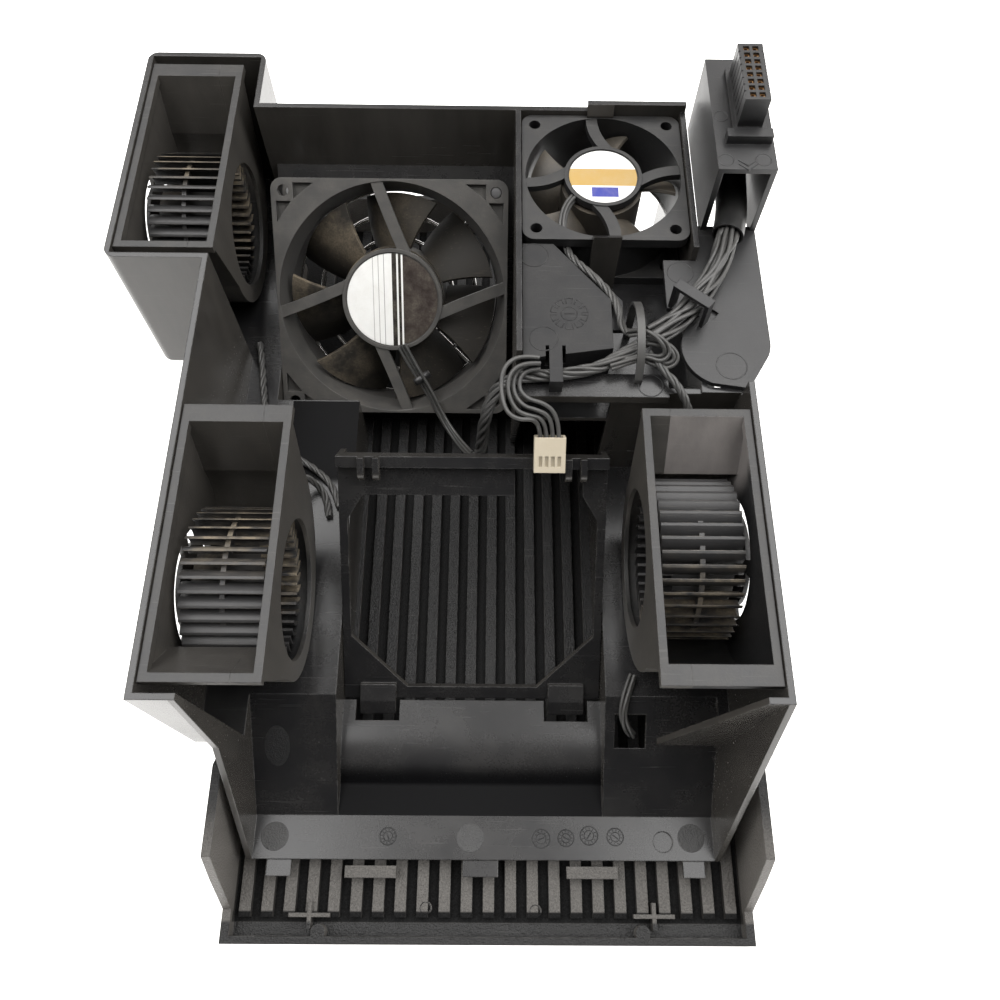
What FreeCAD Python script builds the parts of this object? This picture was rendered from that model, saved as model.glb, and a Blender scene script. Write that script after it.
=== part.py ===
import FreeCAD, Part
import math
import os
import Sketcher
from FreeCAD import Placement, Rotation, Vector

# Fan and air-duct assembly of a tower server, lying on its outer cover with the open inside up.
# X runs across the duct, Y from the front strip to the rear wall, Z up. Millimetres and degrees.
# The origin is the middle of the box around the assembly, on the surface that it rests on.

SIZES = {
    # duct moulding
    "wall": 2.0,
    "rim_height": 102.0,
    "floor_height": 36.7,
    "seat_gap": 0.3,
    "end_gap": 3.25,
    "corner_radius": 4.0,
    "box_step": -69.5,
    "channel_left": -33.5,
    "channel_right": 61.0,
    "channel_step": 38.0,
    "ramp_top": -79.0,
    "ramp_foot": -116.8,
    "strip_front": -131.5,
    "strip_height": 12.0,
    "scoop_rear": -77.0,
    "scoop_foot": -106.0,
    "scoop_height": 19.0,
    "scoop_radius": 45.0,
    "tray_front": 13.0,
    "tray_back": 40.0,
    "divider_front": 21.0,
    "shelf_height": 92.0,
    "shelf_thick": 4.0,
    "shelf_ahead": 3.5,
    "shelf_behind": 5.5,
    "shelf_left": 27.5,
    "shelf_right": 80.0,
    "left_wall_foot": -64.5,
    "left_wall_head": -69.0,
    "right_wall_foot": 102.0,
    "edge_bend_drop": 41.2,
    "edge_bend_run": 6.2,
    "gusset_head": 98.4,
    "gusset_foot": 78.0,
    "inlet_radius": 24.0,
    "clip_wide": 10.0,
    "clip_reach": 1.2,
    "clip_rise": 3.0,
    "ramp_hole_left": 64.5,
    "ramp_hole_wide": 11.0,
    "ramp_hole_front": -95.0,
    "ramp_hole_rear": -84.5,
    "left_tab_x": -53.1,
    "left_tab_wide": 8.6,
    "middle_tab_x": 17.6,
    "middle_tab_wide": 12.4,
    "right_tab_x": 92.7,
    "right_tab_wide": 7.6,
    "strip_tab_long": 5.5,
    "strip_tab_thick": 1.2,
    "dimple_x": 82.2,
    "dimple_y": -125.2,
    "dimple_radius": 3.5,
    "dimple_deep": 0.8,
    # outer cover
    "cover_x": 20.5,
    "cover_wide": 184.5,
    "cover_front": -158.5,
    "cover_rear": 131.5,
    "tail_right": 42.0,
    "tail_rear": 157.0,
    "tail_tall": 27.0,
    "tail_rib_first": -57.0,
    "tail_rib_count": 11,
    "tail_rib_front": 98.0,
    "cover_wall": 2.2,
    "rib_wide": 4.0,
    "rib_tall": 3.0,
    "rib_pitch": 7.75,
    "rib_count": 23,
    "rib_front": -150.0,
    "rib_rear": 50.0,
    "flange_wall": 3.0,
    "flange_tall": 42.0,
    "flange_low": 31.0,
    "flange_nose": -132.5,
    "flange_step": -104.0,
    "lip_tall": 8.0,
    "lip_thick": 2.5,
    "hook_left": -21.0,
    "hook_right": 56.9,
    "hook_y": -135.4,
    "hook_wide": 18.0,
    "hook_deep": 4.0,
    "hook_low": 8.5,
    "hook_thick": 2.0,
    "hook_post": 3.0,
    "cross_left": -41.8,
    "cross_right": 78.4,
    "cross_y": -149.3,
    "cross_wide": 14.4,
    "cross_deep": 8.8,
    "cross_wall": 1.4,
    "cross_tall": 7.0,
    "stud_left": -38.3,
    "stud_right": 74.0,
    "stud_y": -154.6,
    "stud_radius": 2.5,
    # fan bay frame
    "bay_y": -40.14,
    "bay_z": 46.63,
    "bay_tilt": 39.0,
    "bay_long": 92.0,
    "bay_thick": 2.5,
    "bay_open": 88.0,
    "bay_chamfer": 20.0,
    "bay_rim": 9.0,
    "bay_bar": 4.0,
    "bay_open_low": 4.6,
    "bay_neck": 5.5,
    "bay_neck_drop": 14.5,
    "bay_neck_slope": 9.0,
    "flap_right": 14.7,
    "prong_spread": 35.5,
    "prong_gap": 2.6,
    "prong_wide": 2.2,
    "prong_tall": 7.0,
    "prong_reach": 8.5,
    "prong_nose": 3.5,
    "prong_thick": 5.0,
    "latch_wide": 13.0,
    "latch_shift": 34.5,
    "latch_reach": 5.0,
    "latch_hold": 6.0,
    "latch_tall": 3.0,
    "latch_gap": 1.5,
    "latch_notch": 7.5,
    # large axial fan
    "large_x": -20.2,
    "large_y": 75.0,
    "large_z": 56.3,
    "large_tilt": 43.0,
    "large_size": 92.0,
    "large_depth": 25.0,
    "large_pitch": 82.5,
    "large_bore": 84.0,
    "large_skin": 3.3,
    "large_flare": 10.0,
    "large_cap": 20.0,
    "large_hub": 20.5,
    "large_blades": 7,
    "large_strut": 4.4,
    "large_strut_offset": 12.0,
    "large_strut_turn": 22.0,
    "large_strut_bow": 400.0,
    "large_root_chord": 22.0,
    "large_tip_chord": 40.0,
    "large_root_pitch": 46.0,
    "large_tip_pitch": 27.0,
    "large_sweep": 7.0,
    "large_stator": 13.4,
    # small axial fan
    "small_x": 60.5,
    "small_y": 99.5,
    "small_z": 100.0,
    "small_tilt": 0.0,
    "small_size": 60.0,
    "small_depth": 25.0,
    "small_pitch": 50.0,
    "small_bore": 57.4,
    "small_skin": 1.2,
    "small_cap": 14.4,
    "small_hub": 15.2,
    "small_blades": 5,
    "small_strut": 4.0,
    "small_strut_offset": 9.0,
    "small_strut_turn": 24.0,
    "small_strut_bow": 24.0,
    "small_root_chord": 17.0,
    "small_tip_chord": 27.0,
    "small_root_pitch": 52.0,
    "small_tip_pitch": 34.0,
    "small_sweep": 5.0,
    "small_stator": 8.8,
    # shared by the axial fans
    "frame_flange": 4.0,
    "frame_corner": 4.5,
    "screw_hole": 2.15,
    "tip_gap": 0.9,
    "cap_thick": 3.0,
    "hub_skin": 1.6,
    "blade_thick": 1.3,
    "label_sink": 0.6,
    "cap_rim": 1.4,
    "frame_web": 1.8,
    "tube_clear": 6.0,
    "hub_clear": 0.5,
    "hub_lift": 1.4,
    "boss_radius": 3.6,
    "boss_tall": 2.4,
    # blowers
    "rear_left_x": -95.7,
    "rear_left_y": 108.25,
    "front_left_x": -61.2,
    "right_x": 86.2,
    "front_y": -45.1,
    "outlet_height": 101.0,
    "blower_wide": 35.0,
    "blower_long": 90.0,
    "base_wide": 26.0,
    "outlet_shift": 6.0,
    "wheel_drop": 33.0,
    "blower_skin": 1.5,
    "outlet_flange": 3.0,
    "throat_lip": 6.0,
    "tongue_lip": 2.0,
    "side_lip": 2.5,
    "scroll_radius": 30.2,
    "scroll_rise": 10.0,
    "tongue_angle": 33.0,
    "wheel_radius": 27.0,
    "wheel_wide": 26.0,
    "wheel_blades": 38,
    "wheel_blade_depth": 6.4,
    "wheel_blade_thick": 1.0,
    "wheel_blade_lean": 3.4,
    "wheel_blade_bow": 7.0,
    "wheel_web": 1.6,
    "wheel_hub": 14.0,
    "blower_inlet": 23.5,
    "base_inlet": 20.5,
    "motor_plate": 15.5,
    "spoke_angle": 16.0,
    "blower_stator": 8.6,
    "blower_tube": 11.8,
    "blower_stator_lift": 3.6,
    "hub_rise": 3.0,
    # motors
    "shaft_radius": 1.5,
    "bearing_radius": 4.0,
    "bearing_long": 3.0,
    "running_gap": 0.05,
    "tube_skin": 1.1,
    "stator_tall": 7.0,
    "stator_drop": 3.2,
    "core_thick": 1.2,
    "pole_count": 4,
    "pole_wide": 2.4,
    "shoe_thick": 1.0,
    "shoe_angle": 36.0,
    "coil_wide": 4.4,
    "coil_proud": 0.8,
    "yoke_thick": 0.9,
    "air_gap": 0.5,
    "board_thick": 1.0,
    # finger guard
    "guard_wire": 0.9,
    "guard_rings": 4,
    "guard_first": 13.0,
    "guard_step": 9.8,
    "guard_eye": 3.2,
    "screw_long": 14.0,
    "screw_head": 3.8,
    "screw_head_tall": 2.4,
    # connector bracket
    "tower_left": 95.5,
    "tower_right": 115.5,
    "tower_front": 78.5,
    "tower_rear": 130.5,
    "tower_height": 125.0,
    "ledge_height": 95.0,
    "ledge_rear": 65.0,
    "ledge_left": 81.0,
    "ledge_front": 11.6,
    "ledge_step": 44.0,
    "lobe_rear_x": 92.2,
    "lobe_rear_y": 40.6,
    "lobe_front_x": 94.2,
    "lobe_front_y": 13.5,
    "lobe_radius": 15.2,
    "ledge_tip": 106.5,
    "ledge_corner_x": 114.3,
    "ledge_corner_y": 24.5,
    "ledge_shoulder": 31.0,
    "ledge_curve": 14.0,
    "strap_x": 88.0,
    "strap_y": 41.5,
    "strap_turn": 39.0,
    "strap_span": 11.5,
    "strap_wide": 4.0,
    "strap_thick": 1.4,
    "strap_rise": 11.6,
    "strap_slot_long": 4.0,
    "strap_slot_wide": 3.6,
    "strap_slot_shift": 6.2,
    "rear_slot_along": 8.8,
    "front_slot_along": 5.4,
    "stop_y": 91.7,
    "stop_deep": 3.8,
    "stop_left": 99.0,
    "stop_right": 114.5,
    "stop_tall": 3.5,
    # connector
    "socket_x": 107.2,
    "socket_y": 108.8,
    "socket_pitch": 3.1,
    "socket_rows": 8,
    "socket_wide": 8.6,
    "socket_end": 0.7,
    "socket_shoulder": 1.4,
    "socket_top": 138.5,
    "socket_bottom": 113.0,
    "contact_side": 1.9,
    "contact_deep": 8.0,
    "contact_sink": 0.8,
    "contact_skin": 0.35,
    "socket_groove": 0.5,
    # wire cover
    "plate_height": 98.5,
    "plate_thick": 2.0,
    "plate_front": 20.0,
    "plate_right": 61.0,
    "plate_corner": 44.5,
    "plate_notch": 41.5,
    "plate_skew": 4.6,
    "lead_step": 3.7,
    "lead_shelf": 4.6,
    "tab_x": 41.5,
    "tab_wide": 4.4,
    "tab_slot": 1.2,
    "tab_long": 5.5,
    "tongue_reach": 8.8,
    "tongue_thick": 1.2,
    # loose plug
    "plug_wide": 10.6,
    "plug_long": 12.0,
    "plug_tall": 5.4,
    "plug_shift": 26.05,
    "plug_over": 8.0,
    "plug_skin": 0.9,
    "plug_deep": 3.0,
    "plug_pitch": 2.1,
    "plug_slot": 1.2,
    "sleeve_skin": 0.7,
    "tie_x": 69.5,
    "tie_y": 30.2,
    "tie_z": 90.0,
    "tie_radius": 15.0,
    "tie_wide": 2.6,
    "tie_thick": 1.0,
    "tie_foot": 4.0,
    # wires
    "trunk_wire": 9.2,
    "shelf_wire": 4.6,
    "fan_wire": 2.8,
    "lead_wire": 1.5,
}

doc = FreeCAD.newDocument("FanShroud")
sheet = doc.addObject("Spreadsheet::Sheet", "dim")
for row, (alias, number) in enumerate(SIZES.items(), start=1):
    sheet.set(f"A{row}", alias)
    sheet.set(f"B{row}", str(number))
    sheet.setAlias(f"B{row}", alias)
doc.recompute()

nodes = []


def value(expression):
    return float(sheet.evalExpression(expression))


def label(piece, name):
    piece.Label = name
    nodes.append(piece)
    return piece


# Puts a piece at a spot given by expressions, turned about one axis.
def place(piece, spot, axis=(0, 0, 1), angle="0"):
    piece.Placement = Placement(Vector(), Rotation(Vector(*axis), value(angle)))
    for side, expression in zip("xyz", spot):
        piece.setExpression(f"Placement.Base.{side}", expression)
    if angle.startswith("dim."):
        piece.setExpression("Placement.Rotation.Angle", angle)


def new_body(name):
    return label(doc.addObject("PartDesign::Body", name), name)


def origin_feature(body, role):
    return next(feature for feature in body.Origin.OriginFeatures if feature.Role == role)


# A sketch on one of the body's own planes: "XY" at a height, "YZ" at an x, "XZ" at a y.
def sketch_on(body, name, plane, at="0"):
    sketch = body.newObject("Sketcher::SketchObject", name)
    sketch.AttachmentSupport = [(origin_feature(body, f"{plane}_Plane"), "")]
    sketch.MapMode = "FlatFace"
    sketch.setExpression("AttachmentOffset.Base.z", f"-({at})" if plane == "XZ" else at)
    return sketch


def bind(sketch, kind, geometry, point, expression):
    if kind == "Radius":
        rule = Sketcher.Constraint(kind, geometry, value(expression))
    else:
        rule = Sketcher.Constraint(kind, -1, 1, geometry, point, value(expression))
    number = sketch.addConstraint(rule)
    sketch.setExpression(f"Constraints[{number}]", expression)


# The arc from one point to the next, turning left (1) or right (-1), and the ids of its two ends.
def add_arc(sketch, first, last, radius, turn):
    chord = last - first
    left = Vector(-chord.y, chord.x, 0).normalize()
    rise = math.sqrt(max(radius ** 2 - (chord.Length / 2) ** 2, 0))
    centre = (first + last) / 2 + left * (turn * rise)
    start, end = (first, last) if turn > 0 else (last, first)
    angles = [math.atan2(spot.y - centre.y, spot.x - centre.x) for spot in (start, end)]
    circle = Part.Circle(centre, Vector(0, 0, 1), radius)
    geometry = sketch.addGeometry(Part.ArcOfCircle(circle, *angles), False)
    return (geometry, 1, 2) if turn > 0 else (geometry, 2, 1)


# A closed outline through points given by expressions; arcs maps a side's number to (radius, turn).
def outline(sketch, points, arcs=None):
    arcs = arcs or {}
    spots = [Vector(value(across), value(up), 0) for across, up in points]
    sides = []
    for number, first in enumerate(spots):
        last = spots[(number + 1) % len(spots)]
        if number in arcs:
            radius, turn = arcs[number]
            sides.append(add_arc(sketch, first, last, value(radius), turn))
        else:
            sides.append((sketch.addGeometry(Part.LineSegment(first, last), False), 1, 2))
    for number, (geometry, first, last) in enumerate(sides):
        following = sides[(number + 1) % len(sides)]
        sketch.addConstraint(Sketcher.Constraint("Coincident", geometry, last, *following[:2]))
    for (across, up), (geometry, first, last) in zip(points, sides):
        bind(sketch, "DistanceX", geometry, first, across)
        bind(sketch, "DistanceY", geometry, first, up)
    for number, (radius, turn) in arcs.items():
        bind(sketch, "Radius", sides[number][0], 0, radius)
    return sketch


def rectangle(sketch, left, bottom, right, top):
    return outline(sketch, [(left, bottom), (right, bottom), (right, top), (left, top)])


def circle(sketch, across, up, radius):
    middle = Vector(value(across), value(up), 0)
    geometry = sketch.addGeometry(Part.Circle(middle, Vector(0, 0, 1), value(radius)), False)
    bind(sketch, "DistanceX", geometry, 3, across)
    bind(sketch, "DistanceY", geometry, 3, up)
    bind(sketch, "Radius", geometry, 0, radius)
    return sketch


# Adds material along the sketch's normal: +Z from XY, +X from YZ, -Y from XZ.
def pad(body, name, sketch, length):
    feature = body.newObject("PartDesign::Pad", name)
    feature.Profile = sketch
    feature.setExpression("Length", length)
    return feature


# Removes material along the sketch's normal, or against it where backward is set.
def pocket(body, name, sketch, length, backward=False):
    feature = body.newObject("PartDesign::Pocket", name)
    feature.Profile = sketch
    feature.Reversed = not backward
    feature.setExpression("Length", length)
    return feature


def polar(body, name, feature, count, axis="Z_Axis"):
    pattern = body.newObject("PartDesign::PolarPattern", name)
    pattern.Originals = [feature]
    pattern.Axis = (origin_feature(body, axis), [""])
    pattern.Angle = 360
    pattern.setExpression("Occurrences", count)
    body.Tip = pattern
    return pattern


# Rounds the edges of the body's last feature for which choose(edge) is true.
def round_edges(body, name, radius, choose):
    doc.recompute()
    base = body.Tip
    chosen = [f"Edge{n}" for n, edge in enumerate(base.Shape.Edges, start=1) if choose(edge)]
    feature = body.newObject("PartDesign::Fillet", name)
    feature.Base = (base, chosen)
    feature.setExpression("Radius", radius)
    return feature


def upright(edge):
    ends = [vertex.Point for vertex in edge.Vertexes]
    return len(ends) == 2 and abs(ends[0].z - ends[1].z) > 0.9 * edge.Length


def primitive(kind, name, spot=("0", "0", "0"), **sizes):
    piece = doc.addObject(f"Part::{kind}", name)
    for size, expression in sizes.items():
        piece.setExpression(size, expression)
    for side, expression in zip("xyz", spot):
        piece.setExpression(f"Placement.Base.{side}", expression)
    return piece


def boolean(kind, name, *pieces):
    piece = doc.addObject(f"Part::{kind}", name)
    if kind in ("MultiFuse", "MultiCommon"):
        piece.Shapes = list(pieces)
    elif kind == "Compound":
        piece.Links = list(pieces)
    else:
        piece.Base, piece.Tool = pieces
    return piece


# Places that several pieces share, as expressions on the sheet.
DUCT_LEFT = "(dim.front_left_x - dim.blower_wide / 2 - dim.seat_gap - dim.wall)"
DUCT_RIGHT = "(dim.right_x + dim.blower_wide / 2 + dim.seat_gap + dim.wall)"
DUCT_FRONT = "(dim.front_y - dim.blower_long / 2 - dim.end_gap - dim.wall)"
DUCT_REAR = "(dim.small_y + dim.small_size / 2 + dim.seat_gap + dim.wall)"
BOX_LEFT = "(dim.rear_left_x - dim.blower_wide / 2 - dim.seat_gap - dim.wall)"
BOX_REAR = "(dim.rear_left_y + dim.blower_long / 2 + dim.end_gap + dim.wall)"
BOX_FRONT = "(dim.rear_left_y - dim.blower_long / 2 - dim.end_gap - dim.wall)"
TRAY_LEFT = "(dim.small_x - dim.small_size / 2 - dim.seat_gap)"
TRAY_RIGHT = "(dim.small_x + dim.small_size / 2 + dim.seat_gap + dim.wall)"
TRAY_FLOOR = "(dim.small_z - dim.small_depth)"
FAN_LEFT = "(dim.large_x - dim.large_size / 2 - dim.seat_gap)"
RIB_TOP = "(dim.cover_wall + dim.rib_tall)"
WHEEL_HEIGHT = "(dim.outlet_height - dim.wheel_drop)"
LEDGE_UNDER = "(dim.ledge_height - dim.wall)"
SEAT_BACK_Y = "(dim.large_y + dim.large_depth * sin(dim.large_tilt))"
SEAT_BACK_Z = "(dim.large_z - dim.large_depth * cos(dim.large_tilt))"


# The slanted seat of the large fan: where its face is at a height, and how high it is at a y.
def seat_y(height):
    return f"({SEAT_BACK_Y} + ({height} - {SEAT_BACK_Z}) / tan(dim.large_tilt))"


def seat_z(along):
    return f"({SEAT_BACK_Z} + ({along} - {SEAT_BACK_Y}) * tan(dim.large_tilt))"


# Outer cover: a flat panel with ribs inside, two side flanges and a front lip.
def outer_cover():
    body = new_body("outer_cover")
    left = "(dim.cover_x - dim.cover_wide / 2)"
    right = "(dim.cover_x + dim.cover_wide / 2)"
    panel = sketch_on(body, "cover_panel_outline", "XY")
    rectangle(panel, left, "dim.cover_front", right, "dim.cover_rear")
    pad(body, "cover_panel", panel, "dim.cover_wall")

    lip = sketch_on(body, "cover_lip_outline", "XY")
    rectangle(lip, left, "dim.cover_front", right, "dim.cover_front + dim.lip_thick")
    pad(body, "cover_lip", lip, "dim.lip_tall")

    for name, start in (("left", left), ("right", f"{right} - dim.flange_wall")):
        flange = sketch_on(body, f"cover_{name}_flange_outline", "YZ", start)
        outline(flange, [
            ("dim.cover_front", "0"),
            ("dim.cover_rear", "0"),
            ("dim.cover_rear", "dim.lip_tall"),
            ("dim.cover_rear - dim.flange_low / 2", "dim.flange_low"),
            ("dim.flange_step + dim.flange_tall - dim.flange_low", "dim.flange_low"),
            ("dim.flange_step", "dim.flange_tall"),
            ("dim.flange_nose", "dim.flange_tall"),
            ("dim.flange_nose - dim.flange_tall / 7", "dim.flange_tall * 0.7"),
            ("dim.flange_nose - dim.flange_tall / 2.8", "dim.lip_tall"),
            ("dim.cover_front", "dim.lip_tall"),
        ])
        pad(body, f"cover_{name}_flange", flange, "dim.flange_wall")

    first = "(dim.cover_x - (dim.rib_count - 1) * dim.rib_pitch / 2)"
    rib = sketch_on(body, "cover_rib_outline", "XY")
    rectangle(rib, f"{first} - dim.rib_wide / 2", "dim.rib_front",
              f"{first} + dim.rib_wide / 2", "dim.rib_rear")
    one_rib = pad(body, "cover_rib", rib, RIB_TOP)
    ribs = body.newObject("PartDesign::LinearPattern", "cover_ribs")
    ribs.Originals = [one_rib]
    ribs.Direction = (origin_feature(body, "X_Axis"), [""])
    ribs.setExpression("Length", "(dim.rib_count - 1) * dim.rib_pitch")
    ribs.setExpression("Occurrences", "dim.rib_count")
    body.Tip = ribs

    # Tail behind the large fan, with a rear wall and short ribs under the fan.
    tail = sketch_on(body, "cover_tail_outline", "XY")
    rectangle(tail, left, "dim.cover_rear - 1", "dim.tail_right", "dim.tail_rear")
    pad(body, "cover_tail", tail, "dim.cover_wall")
    tail_wall = sketch_on(body, "cover_tail_wall_outline", "XY")
    rectangle(tail_wall, left, "dim.tail_rear - dim.lip_thick", "dim.tail_right", "dim.tail_rear")
    pad(body, "cover_tail_wall", tail_wall, "dim.tail_tall")
    tail_rib = sketch_on(body, "cover_tail_rib_outline", "XY")
    rectangle(tail_rib, "dim.tail_rib_first - dim.rib_wide / 2", "dim.tail_rib_front",
              "dim.tail_rib_first + dim.rib_wide / 2", "dim.tail_rear - dim.lip_thick / 2")
    one_tail_rib = pad(body, "cover_tail_rib", tail_rib, RIB_TOP)
    tail_ribs = body.newObject("PartDesign::LinearPattern", "cover_tail_ribs")
    tail_ribs.Originals = [one_tail_rib]
    tail_ribs.Direction = (origin_feature(body, "X_Axis"), [""])
    tail_ribs.setExpression("Length", "(dim.tail_rib_count - 1) * dim.rib_pitch")
    tail_ribs.setExpression("Occurrences", "dim.tail_rib_count")
    body.Tip = tail_ribs

    # Two hooks under the front strip, and by each a cross post and a round stud at the lip.
    for name in ("left", "right"):
        posts = sketch_on(body, f"cover_{name}_hook_posts", "XY")
        middle = f"dim.hook_{name}"
        inner = "(dim.hook_wide / 2 - dim.hook_post * 1.5)"
        for start in (f"{middle} - {inner} - dim.hook_post", f"{middle} + {inner}"):
            rectangle(posts, start, "dim.hook_y - dim.hook_post / 2",
                      f"{start} + dim.hook_post", "dim.hook_y + dim.hook_post / 2")
        pad(body, f"cover_{name}_posts", posts, "dim.hook_low + dim.hook_thick / 2")
        hook = sketch_on(body, f"cover_{name}_hook_outline", "XY", "dim.hook_low")
        rectangle(hook, f"{middle} - dim.hook_wide / 2", "dim.hook_y - dim.hook_deep / 2",
                  f"{middle} + dim.hook_wide / 2", "dim.hook_y + dim.hook_deep / 2")
        pad(body, f"cover_{name}_hook", hook, "dim.hook_thick")
        centre = f"dim.cross_{name}"
        for side, wide, deep in (("across", "dim.cross_wide", "dim.cross_wall"),
                                 ("along", "dim.cross_wall", "dim.cross_deep")):
            arm = sketch_on(body, f"cover_{name}_cross_{side}", "XY")
            rectangle(arm, f"{centre} - {wide} / 2", f"dim.cross_y - {deep} / 2",
                      f"{centre} + {wide} / 2", f"dim.cross_y + {deep} / 2")
            pad(body, f"cover_{name}_arm_{side}", arm, "dim.cross_tall")
        stud = circle(sketch_on(body, f"cover_{name}_stud_outline", "XY"),
                      f"dim.stud_{name}", "dim.stud_y", "dim.stud_radius")
        pad(body, f"cover_{name}_stud", stud, "dim.lip_tall")
    return body


# Inner moulding: blower boxes, fan seats, wire tray, ramps, scoop and front strip.
def air_duct():
    body = new_body("air_duct")
    wall = "dim.wall"
    floor = "dim.floor_height"
    under = "(dim.floor_height - dim.wall)"
    strip_under = "(dim.strip_height - dim.wall)"

    plan = sketch_on(body, "duct_plan", "XY", under)
    outline(plan, [
        (DUCT_LEFT, DUCT_FRONT), (DUCT_RIGHT, DUCT_FRONT),
        (DUCT_RIGHT, "dim.tray_front"), (TRAY_RIGHT, "dim.tray_front"),
        (TRAY_RIGHT, DUCT_REAR), ("dim.box_step", DUCT_REAR),
        ("dim.box_step", BOX_REAR), (BOX_LEFT, BOX_REAR),
        (BOX_LEFT, BOX_FRONT), (DUCT_LEFT, BOX_FRONT),
    ])
    pad(body, "duct_block", plan, f"dim.rim_height - {under}")
    outer_corners = [(value(x), value(y)) for x, y in (
        (BOX_LEFT, BOX_REAR), (BOX_LEFT, BOX_FRONT), ("dim.box_step", BOX_REAR))]
    round_edges(body, "duct_corners", "dim.corner_radius", lambda edge: upright(edge) and any(
        math.hypot(edge.Vertexes[0].X - x, edge.Vertexes[0].Y - y) < 0.01 for x, y in outer_corners))
    round_edges(body, "duct_box_edge", "dim.corner_radius * 0.8", lambda edge: (
        edge.BoundBox.ZMax < value(under) + 0.01 and edge.CenterOfMass.x < value(DUCT_LEFT) - 0.01))

    inside = sketch_on(body, "duct_inside", "XY", "dim.rim_height")
    outline(inside, [
        (f"{DUCT_LEFT} + {wall}", f"{DUCT_FRONT} - 1"),
        (f"{DUCT_RIGHT} - {wall}", f"{DUCT_FRONT} - 1"),
        (f"{DUCT_RIGHT} - {wall}", f"dim.tray_front - {wall}"),
        (f"{TRAY_RIGHT} - {wall}", f"dim.tray_front - {wall}"),
        (f"{TRAY_RIGHT} - {wall}", f"{DUCT_REAR} - {wall}"),
        (f"dim.box_step - {wall}", f"{DUCT_REAR} - {wall}"),
        (f"dim.box_step - {wall}", f"{BOX_REAR} - {wall}"),
        (f"{BOX_LEFT} + {wall}", f"{BOX_REAR} - {wall}"),
        (f"{BOX_LEFT} + {wall}", f"{BOX_FRONT} + {wall}"),
        (f"{DUCT_LEFT} + {wall}", f"{BOX_FRONT} + {wall}"),
    ])
    pocket(body, "duct_hollow", inside, f"dim.rim_height - {floor}", backward=True)

    openings = sketch_on(body, "duct_floor_opening", "XY", f"{floor} + 1")
    outline(openings, [
        ("dim.left_wall_foot", f"{DUCT_FRONT} - 1"),
        (f"dim.right_wall_foot - {wall}", f"{DUCT_FRONT} - 1"),
        (f"dim.right_wall_foot - {wall}", "dim.ramp_top"), ("dim.channel_right", "dim.ramp_top"),
        ("dim.channel_right", f"dim.tray_front - {wall}"),
        (f"{TRAY_RIGHT} - {wall}", f"dim.tray_front - {wall}"),
        (f"{TRAY_RIGHT} - {wall}", f"{DUCT_REAR} - {wall}"), (FAN_LEFT, f"{DUCT_REAR} - {wall}"),
        (FAN_LEFT, "dim.channel_step"), ("dim.channel_left", "dim.channel_step"),
        ("dim.channel_left", "dim.ramp_top"), ("dim.left_wall_foot", "dim.ramp_top"),
    ])
    pocket(body, "duct_floor_cut", openings, f"{wall} + 2", backward=True)

    # Wire tray with the small fan's seat, and the wall between the two axial fans.
    tray = sketch_on(body, "tray_outline", "XY", f"{TRAY_FLOOR} - {wall}")
    rectangle(tray, f"{TRAY_LEFT} - {wall}", f"dim.tray_front - {wall}", TRAY_RIGHT, DUCT_REAR)
    pad(body, "tray_floor", tray, wall)
    divider = sketch_on(body, "divider_outline", "YZ", f"{TRAY_LEFT} - {wall}")
    outline(divider, [
        (f"dim.tray_front - {wall}", f"{TRAY_FLOOR} - {wall}"),
        ("dim.channel_step", RIB_TOP), (seat_y(RIB_TOP), RIB_TOP),
        (DUCT_REAR, seat_z(DUCT_REAR)), (DUCT_REAR, "dim.rim_height"),
        ("dim.divider_front", "dim.rim_height"), ("dim.divider_front", "dim.shelf_height"),
        (f"dim.tray_front - {wall}", "dim.shelf_height"),
    ])
    pad(body, "divider", divider, wall)

    # Slanted seat behind the large fan, and the wall that closes its channel on the left.
    seat = sketch_on(body, "seat_outline", "YZ", f"{FAN_LEFT} - {wall}")
    outline(seat, [
        (seat_y(RIB_TOP), RIB_TOP),
        (f"{seat_y(RIB_TOP)} + {wall} / sin(dim.large_tilt)", RIB_TOP),
        (DUCT_REAR, f"{seat_z(DUCT_REAR)} - {wall} / cos(dim.large_tilt)"),
        (DUCT_REAR, seat_z(DUCT_REAR)),
    ])
    pad(body, "fan_seat", seat, f"{TRAY_LEFT} - {FAN_LEFT} + {wall}")
    side = sketch_on(body, "seat_side_outline", "YZ", f"{FAN_LEFT} - {wall}")
    outline(side, [
        ("dim.channel_step", RIB_TOP), (seat_y(RIB_TOP), RIB_TOP),
        (seat_y(under), under), (DUCT_REAR, under),
        (DUCT_REAR, seat_z(DUCT_REAR)), (seat_y(floor), floor), ("dim.channel_step", floor),
    ])
    pad(body, "seat_side", side, wall)
    passage = sketch_on(body, "seat_passage_outline", "XY")
    passage.AttachmentOffset = Placement(Vector(), Rotation(Vector(1, 0, 0), value("dim.large_tilt")))
    passage.setExpression("AttachmentOffset.Base.x", "dim.large_x")
    passage.setExpression("AttachmentOffset.Base.y", SEAT_BACK_Y)
    passage.setExpression("AttachmentOffset.Base.z", SEAT_BACK_Z)
    passage.setExpression("AttachmentOffset.Rotation.Angle", "dim.large_tilt")
    circle(passage, "0", "0", "dim.large_bore / 2")
    half = "(dim.large_pitch / 2)"
    for across in (f"-{half}", half):
        for along in (f"-{half}", half):
            circle(passage, across, along, "dim.screw_hole")
    pocket(body, "seat_passage", passage, f"{wall} * 2", backward=True)
    below_seat = sketch_on(body, "rear_opening_outline", "YZ", FAN_LEFT)
    rear_inside = f"({DUCT_REAR} - {wall})"
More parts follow.
